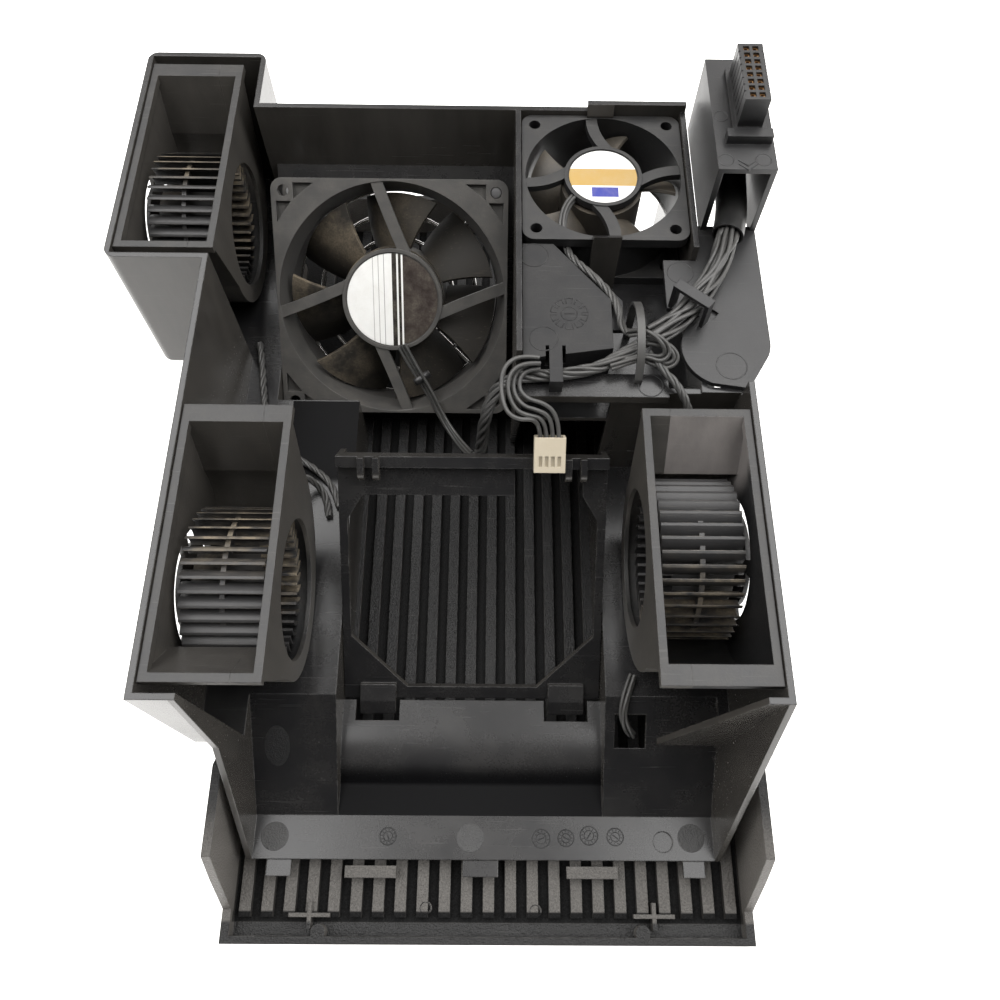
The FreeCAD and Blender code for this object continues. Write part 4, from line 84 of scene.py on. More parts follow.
# radius of each curve point; a curve's box grows by it, so it is small and the bevel is large
slimPoint = 0.001
wireSteps = {"along": 10, "round": 4, "strandRound": 3}


# one smooth line through a route, the thickness added only where it is wanted
def routeCurve(name, route, thick=0.0):
    data = bpy.data.curves.new(name, "CURVE")
    data.dimensions = "3D"
    data.resolution_u = wireSteps["along"]
    line = data.splines.new("NURBS")
    line.points.add(len(route) - 1)
    for point, spot in zip(line.points, route):
        point.co = (spot[0], spot[1], spot[2], 1)
        point.radius = slimPoint
    line.order_u = 3
    line.use_endpoint_u = True
    data.bevel_depth = thick / 2 / slimPoint
    data.bevel_resolution = wireSteps["round"]
    data.use_fill_caps = thick > 0
    return bpy.data.objects.new(name, data)


# four loose leads to the plug on the empty bay
spareLead = {
    "width": 0.0015,
    "routes": [
        [(0.0358, 0.0185, 0.1015), (0.0294, 0.0190, 0.1024), (0.0239, 0.0150, 0.1016),
         (0.0229, 0.0086, 0.0982), (0.0248, 0.0010, 0.0958), (0.0292, -0.0012, 0.0946),
         (0.0336, -0.0002, 0.0936), (0.0360, -0.0004, 0.0896), (0.0366, -0.0031, 0.0859)],
        [(0.0362, 0.0166, 0.1010), (0.0308, 0.0168, 0.1012), (0.0259, 0.0136, 0.1000),
         (0.0252, 0.0079, 0.0970), (0.0280, 0.0028, 0.0940), (0.0322, 0.0014, 0.0930),
         (0.0364, 0.0016, 0.0914), (0.0384, -0.0003, 0.0880), (0.0387, -0.0034, 0.0853)],
        [(0.0362, 0.0177, 0.0994), (0.0314, 0.0176, 0.0993), (0.0273, 0.0139, 0.0975),
         (0.0273, 0.00875, 0.0950), (0.0306, 0.0046, 0.0936), (0.0352, 0.0032, 0.0936),
         (0.0388, 0.0024, 0.0920), (0.0406, 0.0000, 0.0882), (0.0408, -0.0037, 0.0851)],
        [(0.0362, 0.0159, 0.0987), (0.0322, 0.0158, 0.0986), (0.0293, 0.0132, 0.0974),
         (0.0293, 0.0095, 0.0955), (0.0324, 0.0066, 0.0946), (0.0370, 0.0052, 0.0950),
         (0.0408, 0.0036, 0.0926), (0.0427, 0.0002, 0.0884), (0.0429, -0.0039, 0.0850)],
    ],
    "lengths": [0.046, 0.041, 0.039, 0.036],
}


def spareWires(lead):
    wires = []
    for number, route in enumerate(lead["routes"], start=1):
        wire = show(routeCurve("spareWire%d" % number, route, lead["width"]))
        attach(wire, "housing")
        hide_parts("spare_wire_%d" % number)
        wires.append(wire)
    return wires


looseWires = spareWires(spareLead)
print("spare wires laid")


# points along a route, read back from its smooth line
def linePoints(route):
    guide = routeCurve("guide", route)
    show(guide)
    bpy.context.view_layer.update()
    mesh = bpy.data.meshes.new_from_object(guide.evaluated_get(bpy.context.evaluated_depsgraph_get()))
    spots = [vertex.co.copy() for vertex in mesh.vertices]
    bpy.data.meshes.remove(mesh)
    bpy.data.objects.remove(guide)
    return spots


# how unevenly strands lie: where each starts, how it turns, how far out it keeps and drifts, how slowly
strandSway = {"start": 0.25, "turn": 0.35, "keep": 0.93, "drift": 0.07, "slow": 0.7}


# strands that wind round a route, as one curve object with a spline for each
def strandBundle(name, lines, bundle):
    chance = random.Random(bundle["seed"])
    data = bpy.data.curves.new(name, "CURVE")
    data.dimensions = "3D"
    data.bevel_depth = bundle["strand"] / 2 / slimPoint
    data.bevel_resolution = wireSteps["strandRound"]
    data.use_fill_caps = True
    for spots in lines:
        heading = (spots[1] - spots[0]).normalized()
        side = heading.orthogonal().normalized()
        frames = []
        run = 0.0
        for i, spot in enumerate(spots):
            ahead = (spots[min(i + 1, len(spots) - 1)] - spots[max(i - 1, 0)]).normalized()
            side = (side - ahead * side.dot(ahead)).normalized()
            if i:
                run += (spot - spots[i - 1]).length
            frames.append((spot, side.copy(), ahead.cross(side), run))
        for count, reach in bundle["rings"]:
            for k in range(count):
                start = math.tau * k / count + chance.uniform(-strandSway["start"], strandSway["start"])
                sway = chance.uniform(0, math.tau)
                line = data.splines.new("POLY")
                line.points.add(len(frames) - 1)
                for point, (spot, across, out, along) in zip(line.points, frames):
                    angle = start + math.tau * along / bundle["pitch"]
                    angle += strandSway["turn"] * math.sin(along * bundle["waver"] + sway)
                    drift = math.sin(along * bundle["waver"] * strandSway["slow"] + sway * 2)
                    off = reach * (strandSway["keep"] + strandSway["drift"] * drift)
                    where = spot + off * (math.cos(angle) * across + math.sin(angle) * out)
                    point.co = (where.x, where.y, where.z, 1)
                    point.radius = slimPoint
                line.use_smooth = True
    return show(bpy.data.objects.new(name, data))


trunkWires = {
    "node": "harness_trunk",
    "routes": [[(0.1072, 0.1088, 0.1125), (0.1070, 0.1080, 0.1050), (0.1068, 0.0970, 0.1017),
                (0.1056, 0.0790, 0.1015), (0.1006, 0.0610, 0.1005), (0.0923, 0.0460, 0.1001),
                (0.0832, 0.0348, 0.0999), (0.0736, 0.0284, 0.0995)]],
    "strand": 0.0015, "rings": [(1, 0.0), (6, 0.0017), (12, 0.0035)], "pitch": 0.21, "waver": 170, "seed": 4,
}
shelfWires = {
    "node": "shelf_wires",
    "routes": [[(0.07285, 0.0279, 0.0990), (0.0652, 0.0236, 0.0968), (0.0550, 0.0184, 0.0951),
                (0.0440, 0.0164, 0.0947), (0.0340, 0.0156, 0.0948), (0.0266, 0.0148, 0.0947),
                (0.0204, 0.0114, 0.0902), (0.0178, 0.0076, 0.0800), (0.0168, 0.0068, 0.0660),
                (0.0158, 0.0090, 0.0510), (0.0142, 0.0134, 0.0390), (0.0130, 0.0170, 0.0315)]],
    "strand": 0.0015, "rings": [(1, 0.0), (6, 0.00155)], "pitch": 0.034, "waver": 260, "seed": 7,
}
smallFanLead = {
    "node": "small_fan_lead",
    "routes": [[(0.0462, 0.0722, 0.0939), (0.0474, 0.0662, 0.0948), (0.0540, 0.0580, 0.0965),
                (0.0606, 0.0500, 0.0966), (0.0640, 0.0415, 0.0966), (0.0642, 0.0335, 0.0972),
                (0.0665, 0.0302, 0.0994)]],
    "strand": 0.0013, "rings": [(4, 0.00082)], "pitch": 0.017, "waver": 320, "seed": 11,
}
largeFanLead = {
    "node": "large_fan_lead",
    "routes": [[(-0.0162, 0.0610, 0.0456), (-0.0110, 0.0541, 0.0392), (-0.0050, 0.0469, 0.0323),
                (-0.0006, 0.0394, 0.0259), (0.0035, 0.0326, 0.0240), (0.0082, 0.0250, 0.0256),
                (0.0120, 0.0186, 0.0296)]],
    "strand": 0.0013, "rings": [(2, 0.0023), (2, 0.0009)], "pitch": 0.9, "waver": 60, "seed": 12,
}
rightBlowerLead = {
    "node": "right_blower_lead",
    "routes": [[(0.0729, 0.0236, 0.0976), (0.0764, 0.0194, 0.0962), (0.0814, 0.0134, 0.0958),
                (0.0856, 0.0074, 0.0926), (0.0876, 0.0048, 0.0855), (0.0886, 0.0006, 0.0794),
                (0.0890, -0.0054, 0.0770)]],
    "strand": 0.0013, "rings": [(4, 0.00082)], "pitch": 0.016, "waver": 330, "seed": 13,
}
leftBlowerLeads = {
    "node": "left_blower_leads",
    "routes": [[(-0.0762, 0.0660, 0.0383), (-0.0740, 0.0560, 0.0383), (-0.0726, 0.0450, 0.0383),
                (-0.0704, 0.0330, 0.0383), (-0.0650, 0.0220, 0.0383), (-0.0570, 0.0135, 0.0383),
                (-0.0480, 0.0080, 0.0383), (-0.0405, 0.0010, 0.0383), (-0.0376, -0.0080, 0.0383)],
               [(-0.0560, -0.0024, 0.0520), (-0.0510, 0.0016, 0.0460), (-0.0460, 0.0006, 0.0404),
                (-0.0424, -0.0050, 0.0383), (-0.0414, -0.0120, 0.0383)]],
    "strand": 0.0013, "rings": [(4, 0.00082)], "pitch": 0.016, "waver": 300, "seed": 14,
}


def layBundle(name, bundle):
    lines = [linePoints(route) for route in bundle["routes"]]
    piece = strandBundle(name, lines, bundle)
    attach(piece, "housing")
    if "node" in bundle:
        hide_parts(bundle["node"])
    return piece


bundles = [layBundle(name, bundle) for name, bundle in (
    ("trunkWires", trunkWires), ("shelfWires", shelfWires), ("smallFanLead", smallFanLead),
    ("largeFanLead", largeFanLead), ("rightBlowerLead", rightBlowerLead),
    ("leftBlowerLeads", leftBlowerLeads))]
print("wire bundles laid: %d" % len(bundles))


# an empty node group with its sockets, for an effect that several finishes share
def newGroup(name, inputs, outputs):
    group = bpy.data.node_groups.new(name, "ShaderNodeTree")
    for title, value in inputs.items():
        socket = group.interface.new_socket(name=title, in_out="INPUT", socket_type="NodeSocketFloat")
        socket.default_value = value
    for title, kind in outputs.items():
        group.interface.new_socket(name=title, in_out="OUTPUT", socket_type=kind)
    start = group.nodes.new("NodeGroupInput")
    end = group.nodes.new("NodeGroupOutput")
    return group, start, end


def put(tree, kind, values=None, **settings):
    node = tree.nodes.new(kind)
    for key, value in settings.items():
        setattr(node, key, value)
    for key, value in (values or {}).items():
        node.inputs[key].default_value = value
    return node


# joins sockets, each given as node, output, node, input
def join(tree, *pairs):
    for first, leaving, second, entering in pairs:
        tree.links.new(first.outputs[leaving], second.inputs[entering])


# fine moulded grain and slow clouding of the surface
def makeMouldGrain():
    group, start, end = newGroup("mouldGrain", {"Grain Scale": 2200.0, "Cloud Scale": 24.0},
                                 {"Grain": "NodeSocketFloat", "Cloud": "NodeSocketFloat"})
    place = put(group, "ShaderNodeTexCoord")
    fine = put(group, "ShaderNodeTexNoise", {"Detail": 2.0, "Roughness": 0.55})
    slow = put(group, "ShaderNodeTexNoise", {"Detail": 5.0, "Roughness": 0.6, "Distortion": 0.4})
    join(group, (place, "Object", fine, "Vector"), (place, "Object", slow, "Vector"),
         (start, "Grain Scale", fine, "Scale"), (start, "Cloud Scale", slow, "Scale"),
         (fine, "Fac", end, "Grain"), (slow, "Fac", end, "Cloud"))
    return group


# dust that lies on faces turned upwards, broken into patches
def makeSettledDust():
    group, start, end = newGroup("settledDust", {"Amount": 0.3, "Patch Scale": 60.0, "Speck Scale": 1400.0},
                                 {"Dust": "NodeSocketFloat"})
    place = put(group, "ShaderNodeTexCoord")
    shape = put(group, "ShaderNodeNewGeometry")
    split = put(group, "ShaderNodeSeparateXYZ")
    facing = put(group, "ShaderNodeMapRange", {"From Min": -0.1, "From Max": 0.9},
                 interpolation_type="SMOOTHSTEP")
    patch = put(group, "ShaderNodeTexNoise", {"Detail": 6.0, "Roughness": 0.62})
    speck = put(group, "ShaderNodeTexNoise", {"Detail": 2.0, "Roughness": 0.7})
    patchRange = put(group, "ShaderNodeMapRange", {"From Min": 0.38, "From Max": 0.72})
    speckRange = put(group, "ShaderNodeMapRange", {"From Min": 0.35, "From Max": 0.75, "To Min": 0.45})
    both = put(group, "ShaderNodeMath", operation="MULTIPLY")
    lit = put(group, "ShaderNodeMath", operation="MULTIPLY")
    level = put(group, "ShaderNodeMath", operation="MULTIPLY", use_clamp=True)
    join(group, (shape, "Normal", split, "Vector"), (split, "Z", facing, "Value"),
         (place, "Object", patch, "Vector"), (place, "Object", speck, "Vector"),
         (start, "Patch Scale", patch, "Scale"), (start, "Speck Scale", speck, "Scale"),
         (patch, "Fac", patchRange, "Value"), (speck, "Fac", speckRange, "Value"),
         (patchRange, "Result", both, 0), (speckRange, "Result", both, 1),
         (both, "Value", lit, 0), (facing, "Result", lit, 1),
         (lit, "Value", level, 0), (start, "Amount", level, 1), (level, "Value", end, "Dust"))
    return group


# thin grey film on upright walls, in streaks that run down
def makeWallFilm():
    group, start, end = newGroup("wallFilm", {"Amount": 0.5}, {"Film": "NodeSocketFloat"})
    place = put(group, "ShaderNodeTexCoord")
    shape = put(group, "ShaderNodeNewGeometry")
    split = put(group, "ShaderNodeSeparateXYZ")
    side = put(group, "ShaderNodeMath", operation="ABSOLUTE")
    facing = put(group, "ShaderNodeMapRange", {"From Min": 0.8, "From Max": 0.4},
                 interpolation_type="SMOOTHSTEP")
    stretch = put(group, "ShaderNodeMapping", {"Scale": (90.0, 90.0, 22.0)})
    streak = put(group, "ShaderNodeTexNoise", {"Scale": 1.0, "Detail": 5.0, "Roughness": 0.6})
    streakRange = put(group, "ShaderNodeMapRange", {"From Min": 0.3, "From Max": 0.7, "To Min": 0.6})
    cover = put(group, "ShaderNodeMath", operation="MULTIPLY")
    level = put(group, "ShaderNodeMath", operation="MULTIPLY", use_clamp=True)
    join(group, (shape, "Normal", split, "Vector"), (split, "Z", side, 0), (side, 0, facing, "Value"),
         (place, "Object", stretch, "Vector"), (stretch, "Vector", streak, "Vector"),
         (streak, "Fac", streakRange, "Value"), (streakRange, "Result", cover, 0),
         (facing, "Result", cover, 1), (cover, "Value", level, 0), (start, "Amount", level, 1),
         (level, "Value", end, "Film"))
    return group


# rounded edge normals and a mask of the edges, broken up in places; the mask marks wear and also a painted
# edge highlight
def makeSoftEdge():
    group, start, end = newGroup("softEdge", {"Width": 0.0004, "Break Scale": 220.0},
                                 {"Normal": "NodeSocketVector", "Edge": "NodeSocketFloat"})
    rounded = put(group, "ShaderNodeBevel", samples=4)
    shape = put(group, "ShaderNodeNewGeometry")
    place = put(group, "ShaderNodeTexCoord")
    match = put(group, "ShaderNodeVectorMath", operation="DOT_PRODUCT")
    turned = put(group, "ShaderNodeMapRange", {"From Min": 0.995, "From Max": 0.8})
    edgeBreakup = put(group, "ShaderNodeTexNoise", {"Detail": 4.0, "Roughness": 0.65})
    edgeBreakupRange = put(group, "ShaderNodeMapRange", {"From Min": 0.42, "From Max": 0.62})
    wornAndLitEdge = put(group, "ShaderNodeMath", operation="MULTIPLY", use_clamp=True)
    join(group, (start, "Width", rounded, "Radius"), (rounded, "Normal", match, 0),
         (shape, "Normal", match, 1), (match, "Value", turned, "Value"), (place, "Object", edgeBreakup, "Vector"),
         (start, "Break Scale", edgeBreakup, "Scale"), (edgeBreakup, "Fac", edgeBreakupRange, "Value"),
         (turned, "Result", wornAndLitEdge, 0), (edgeBreakupRange, "Result", wornAndLitEdge, 1),
         (rounded, "Normal", end, "Normal"), (wornAndLitEdge, "Value", end, "Edge"))
    return group


# long thin handling scratches in two directions
def makeScratches():
    group, start, end = newGroup("fineScratches", {"Scale": 60.0, "Cover": 0.5},
                                 {"Scratch": "NodeSocketFloat"})
    place = put(group, "ShaderNodeTexCoord")
    either = put(group, "ShaderNodeMath", operation="MAXIMUM")
    level = put(group, "ShaderNodeMath", operation="MULTIPLY", use_clamp=True)
    for number, turn in enumerate(((0.3, 0.2, 0.55), (0.1, -0.3, -0.95))):
        lay = put(group, "ShaderNodeMapping", {"Rotation": turn, "Scale": (1.0, 24.0, 24.0)})
        lines = put(group, "ShaderNodeTexNoise", {"Detail": 1.0, "Roughness": 0.4})
        thin = put(group, "ShaderNodeMapRange", {"From Min": 0.70, "From Max": 0.76})
        join(group, (place, "Object", lay, "Vector"), (lay, "Vector", lines, "Vector"),
             (start, "Scale", lines, "Scale"), (lines, "Fac", thin, "Value"),
             (thin, "Result", either, number))
    join(group, (either, "Value", level, 0), (start, "Cover", level, 1), (level, "Value", end, "Scratch"))
    return group


mouldGrain = makeMouldGrain()
settledDust = makeSettledDust()
wallFilm = makeWallFilm()
softEdge = makeSoftEdge()
fineScratches = makeScratches()
print("shared effects built")


def useGroup(tree, group, values):
    node = tree.nodes.new("ShaderNodeGroup")
    node.node_tree = group
    for key, value in values.items():
        node.inputs[key].default_value = value
    return node


def grainOf(tree, look):
    return useGroup(tree, mouldGrain, {"Grain Scale": look["grainScale"], "Cloud Scale": look["cloudScale"]})


def dustOf(tree, look):
    return useGroup(tree, settledDust, {"Amount": look["dust"], "Patch Scale": look["dustPatch"]})


def scratchesOf(tree, look):
    return useGroup(tree, fineScratches, {"Scale": look["scratchScale"], "Cover": look["scratch"]})


def blank(name):
    material = bpy.data.materials.new(name)
    material.use_nodes = True
    tree = material.node_tree
    tree.nodes.clear()
    surface = tree.nodes.new("ShaderNodeBsdfPrincipled")
    output = tree.nodes.new("ShaderNodeOutputMaterial")
    tree.links.new(surface.outputs["BSDF"], output.inputs["Surface"])
    return material, tree, surface


def mixColour(tree, mask, first, second):
    mix = put(tree, "ShaderNodeMix", data_type="RGBA")
    tree.links.new(mask, mix.inputs[0])
    for socket, value in ((mix.inputs[6], first), (mix.inputs[7], second)):
        if isinstance(value, tuple):
            socket.default_value = (*value, 1.0)
        else:
            tree.links.new(value, socket)
    return mix.outputs[2]


def addUp(tree, *terms):
    total = None
    for mask, weight in terms:
        part = put(tree, "ShaderNodeMath", {1: weight}, operation="MULTIPLY")
        tree.links.new(mask, part.inputs[0])
        if total is None:
            total = part.outputs[0]
            continue
        plus = put(tree, "ShaderNodeMath", operation="ADD")
        tree.links.new(total, plus.inputs[0])
        tree.links.new(part.outputs[0], plus.inputs[1])
        total = plus.outputs[0]
    return total


def offset(tree, value, base):
    plus = put(tree, "ShaderNodeMath", {1: base}, operation="ADD", use_clamp=True)
    tree.links.new(value, plus.inputs[0])
    return plus.outputs[0]


def product(tree, first, second):
    times = put(tree, "ShaderNodeMath", operation="MULTIPLY")
    tree.links.new(first, times.inputs[0])
    tree.links.new(second, times.inputs[1])
    return times.outputs[0]


# fades from 0 to 1 along one side of the part's own box
def alongBox(tree, start, end, side="Y"):
    place = put(tree, "ShaderNodeTexCoord")
    split = put(tree, "ShaderNodeSeparateXYZ")
    fade = put(tree, "ShaderNodeMapRange", {"From Min": start, "From Max": end},
               interpolation_type="SMOOTHSTEP")
    join(tree, (place, "Generated", split, 0), (split, side, fade, "Value"))
    return fade.outputs["Result"]


# how softly the painted groove shade ends, and how far a face may turn from up
grooveShadeEdge = {"soft": 0.0004, "noseSoft": 0.0006, "facing": (-0.3, 0.1)}


# painted shade on the floor between ribs and on the ribs' front noses, where little light reaches: faces
# facing up, below a height or before a line
def grooveNoseShade(tree, height, line, last):
    soft, noseSoft = grooveShadeEdge["soft"], grooveShadeEdge["noseSoft"]
    turnedAway, turnedUp = grooveShadeEdge["facing"]
    place = put(tree, "ShaderNodeTexCoord")
    split = put(tree, "ShaderNodeSeparateXYZ")
    under = put(tree, "ShaderNodeMapRange", {"From Min": height, "From Max": height - soft})
    before = put(tree, "ShaderNodeMapRange", {"From Min": line, "From Max": line - noseSoft})
    behind = put(tree, "ShaderNodeMapRange", {"From Min": last - soft, "From Max": last})
    ribHigh = put(tree, "ShaderNodeMath", {1: height + noseSoft}, operation="LESS_THAN")
    low = put(tree, "ShaderNodeMath", operation="MAXIMUM")
    shape = put(tree, "ShaderNodeNewGeometry")
    facing = put(tree, "ShaderNodeSeparateXYZ")
    up = put(tree, "ShaderNodeMapRange", {"From Min": turnedAway, "From Max": turnedUp})
    join(tree, (place, "Object", split, 0), (split, "Z", under, "Value"), (split, "Z", ribHigh, 0),
         (split, "Y", before, "Value"), (split, "Y", behind, "Value"), (under, "Result", low, 0),
         (shape, "Normal", facing, 0), (facing, "Z", up, "Value"))
    tree.links.new(product(tree, before.outputs["Result"], ribHigh.outputs[0]), low.inputs[1])
    return product(tree, product(tree, low.outputs[0], up.outputs["Result"]), behind.outputs["Result"])


# what dust and scratches add to a plastic, and its usual index of refraction
plasticShare = {"dustRough": 0.5, "scratchRough": 0.2, "scratchDepth": -0.4, "ior": 1.5}


# moulded plastic, from a dictionary of its look
def mouldedPlastic(name, look):
    material, tree, surface = blank(name)
    grain = grainOf(tree, look)
    dust = dustOf(tree, look)
    edge = useGroup(tree, softEdge, {"Width": look["edge"]})
    lines = scratchesOf(tree, look)
    shade = mixColour(tree, grain.outputs["Cloud"], look["dark"], look["light"])
    # painted light: the front of the cover is mixed towards a paler colour, lit brighter than the shaded
    # trough behind it; the lip is left out
    if "frontPaintedLight" in look:
        pastLip = alongBox(tree, *look["lipAlong"])
        front = product(tree, alongBox(tree, *look["frontAlong"]), pastLip)
        shade = mixColour(tree, front, shade, look["frontPaintedLight"])
    # painted highlight: edges are mixed to a pale colour that is partly wear and partly the light that edges
    # catch
    shade = mixColour(tree, edge.outputs["Edge"], shade, look["wearAndHighlight"])
    shade = mixColour(tree, lines.outputs["Scratch"], shade, look["wearAndHighlight"])
    if "wallFilm" in look:
        film = useGroup(tree, wallFilm, {"Amount": look["wallFilm"]}).outputs["Film"]
        if "filmAlong" in look:
            film = product(tree, film, alongBox(tree, *look["filmAlong"]))
        shade = mixColour(tree, film, shade, look["filmColour"])
    settled = dust.outputs["Dust"]
    if "dustAlong" in look:
        settled = product(tree, settled, alongBox(tree, *look["dustAlong"]))
    if "lipAlong" in look:
        settled = product(tree, settled, pastLip)
    shade = mixColour(tree, settled, shade, look["dustColour"])
    terms = [(grain.outputs["Cloud"], look["roughSpread"]), (settled, plasticShare["dustRough"]),
             (lines.outputs["Scratch"], plasticShare["scratchRough"])]
    # painted shade: grooves and rib noses are mixed to near black
    if "grooveBelow" in look:
        grooveShade = grooveNoseShade(tree, look["grooveBelow"], look["noseBefore"], look["noseEnd"])
        shade = mixColour(tree, grooveShade, shade, look["grooveShadeColour"])
        terms.append((grooveShade, look["grooveRough"]))
    tree.links.new(shade, surface.inputs["Base Color"])
    tree.links.new(offset(tree, addUp(tree, *terms), look["rough"]), surface.inputs["Roughness"])
    bump = put(tree, "ShaderNodeBump", {"Strength": look["grain"], "Distance": look["grainDepth"]})
    height = addUp(tree, (grain.outputs["Grain"], 1.0),
                   (lines.outputs["Scratch"], plasticShare["scratchDepth"]))
    tree.links.new(height, bump.inputs["Height"])
    join(tree, (edge, "Normal", bump, "Normal"), (bump, "Normal", surface, "Normal"))
    surface.inputs["IOR"].default_value = look.get("ior", plasticShare["ior"])
    return material


# what most of the plastics share; each look below says where it differs
# the pale edge and scratch colour is partly wear and, on edges, partly a painted highlight
plainPlastic = {
    "dark": (0.010, 0.010, 0.0105), "wearAndHighlight": (0.09, 0.088, 0.085), "rough": 0.34, "roughSpread": 0.15,
    "grainScale": 1500, "grain": 0.22, "grainDepth": 0.0002, "dustPatch": 120, "edge": 0.0003, "scratch": 0.2,
    "scratchScale": 60,
}
ductLook = {
    **plainPlastic, "dark": (0.007, 0.007, 0.008), "light": (0.013, 0.013, 0.0135), "rough": 0.17,
    "roughSpread": 0.16, "cloudScale": 22, "grain": 0.10, "grainDepth": 0.0001, "dust": 0.10, "dustPatch": 55,
    "dustColour": (0.16, 0.15, 0.135), "edge": 0.0005, "scratch": 0.10, "scratchScale": 42, "wallFilm": 0.45,
    "filmColour": (0.105, 0.096, 0.083),
}
# the cover's paler front is painted light, and its near-black grooves and rib noses are painted shade
coverLook = {
    **plainPlastic, "dark": (0.007, 0.007, 0.0074), "light": (0.013, 0.0128, 0.0126), "roughSpread": 0.14,
    "cloudScale": 16, "grain": 0.9, "grainDepth": 0.0005, "dust": 0.75, "dustPatch": 1500,
    "dustColour": (0.17, 0.16, 0.148), "dustAlong": (0.15, 0.08), "edge": 0.0005,
    "frontPaintedLight": (0.060, 0.0565, 0.052), "frontAlong": (0.14, 0.085), "lipAlong": (0.0205, 0.0245),
    "scratchScale": 50, "ior": 1.37, "wallFilm": 0.9, "filmColour": (0.16, 0.15, 0.138),
    "grooveBelow": 0.0049, "noseBefore": -0.1478, "noseEnd": -0.1514,
    "grooveShadeColour": (0.0015, 0.0015, 0.0016), "grooveRough": 0.4,
}
lidLook = {
    **plainPlastic, "dark": (0.010, 0.010, 0.0108), "light": (0.015, 0.015, 0.0158),
    "wearAndHighlight": (0.07, 0.07, 0.07), "rough": 0.40, "cloudScale": 30, "dust": 0.12, "dustPatch": 80,
    "dustColour": (0.16, 0.15, 0.135), "edge": 0.0004, "scratch": 0.3, "scratchScale": 55, "ior": 1.38,
}
bracketLook = {
    **plainPlastic, "dark": (0.009, 0.009, 0.0095), "light": (0.014, 0.014, 0.0148),
    "wearAndHighlight": (0.06, 0.06, 0.06), "roughSpread": 0.14, "grainScale": 1400, "cloudScale": 30, "dust": 0.08,
    "dustPatch": 75, "dustColour": (0.15, 0.14, 0.13), "edge": 0.0004, "scratch": 0.3, "scratchScale": 55,
}
blowerLook = {
    **plainPlastic, "light": (0.016, 0.016, 0.0165), "roughSpread": 0.16, "grainScale": 1300,
    "cloudScale": 36, "grain": 0.28, "dust": 0.16, "dustPatch": 90, "dustColour": (0.17, 0.155, 0.13),
    "edge": 0.0004, "scratch": 0.35, "wallFilm": 0.5, "filmColour": (0.105, 0.096, 0.083),
}
rightBlowerLook = {**blowerLook, "wallFilm": 1.6, "filmColour": (0.18, 0.167, 0.16),
                   "filmAlong": (0.72, 0.82)}
wheelLook = {
    **plainPlastic, "dark": (0.020, 0.020, 0.021), "light": (0.034, 0.033, 0.033),
    "wearAndHighlight": (0.12, 0.11, 0.095), "rough": 0.36, "roughSpread": 0.2, "grainScale": 1600, "cloudScale": 120,
    "grain": 0.25, "dust": 1.5, "dustPatch": 130, "dustColour": (0.27, 0.22, 0.15), "scratchScale": 80,
    "dustAlong": (0.35, 0.75),
}
rightWheelLook = {**wheelLook, "dustAlong": (0.42, 0.12), "dust": 1.1}
fanLook = {
    **plainPlastic, "light": (0.017, 0.017, 0.0175), "wearAndHighlight": (0.07, 0.07, 0.068), "rough": 0.38,
    "cloudScale": 40, "dust": 0.14, "dustPatch": 90, "dustColour": (0.17, 0.155, 0.13), "scratch": 0.25,
}
largeFrameLook = {
    **fanLook, "dark": (0.040, 0.0385, 0.037), "light": (0.058, 0.056, 0.053), "dust": 0.3, "dustPatch": 150,
}
bladeLook = {
    **plainPlastic, "dark": (0.026, 0.023, 0.019), "light": (0.052, 0.045, 0.036),
    "wearAndHighlight": (0.17, 0.145, 0.11), "rough": 0.40, "roughSpread": 0.2, "grainScale": 1600, "cloudScale": 60,
    "grain": 0.2, "dust": 0.55, "dustPatch": 70, "dustColour": (0.19, 0.155, 0.11), "scratch": 0.15,
}
largeBladeLook = {
    **bladeLook, "dark": (0.013, 0.0118, 0.010), "light": (0.026, 0.0235, 0.020),
    "dust": 1.5, "dustAlong": (0.78, 0.22, "X"), "rough": 0.55, "ior": 1.3,
}
sheathLook = {
    **plainPlastic, "dark": (0.032, 0.032, 0.031), "light": (0.066, 0.065, 0.063),
    "wearAndHighlight": (0.11, 0.11, 0.11), "rough": 0.30, "roughSpread": 0.2, "grainScale": 900, "cloudScale": 150,
    "grain": 0.12, "grainDepth": 0.0001, "dust": 0.18, "dustColour": (0.16, 0.15, 0.13), "edge": 0.0001,
    "scratch": 0.1, "scratchScale": 90,
}
sleeveLook = {**sheathLook, "dark": (0.007, 0.007, 0.007), "light": (0.012, 0.012, 0.012), "dust": 0.08}
plugLook = {
    **plainPlastic, "dark": (0.38, 0.33, 0.245), "light": (0.47, 0.42, 0.33), "wearAndHighlight": (0.58, 0.54, 0.45),
    "cloudScale": 120, "grain": 0.15, "grainDepth": 0.0001, "dust": 0.20, "dustPatch": 160,
    "dustColour": (0.42, 0.37, 0.28), "scratchScale": 90,
}
socketLook = {
    **plainPlastic, "light": (0.016, 0.016, 0.0165), "wearAndHighlight": (0.05, 0.05, 0.05), "rough": 0.30,
    "roughSpread": 0.12, "cloudScale": 60, "grain": 0.12, "grainDepth": 0.0001, "dust": 0.08,
    "dustColour": (0.15, 0.14, 0.13), "scratchScale": 80,
}
boardLook = {
    **plainPlastic, "dark": (0.012, 0.055, 0.025), "light": (0.016, 0.075, 0.032),
    "wearAndHighlight": (0.10, 0.12, 0.05), "rough": 0.30, "grainScale": 1800, "cloudScale": 90, "grain": 0.15,
    "grainDepth": 0.0001, "dust": 0.12, "dustColour": (0.16, 0.15, 0.13), "edge": 0.0002, "scratch": 0.1,
    "scratchScale": 80,
}
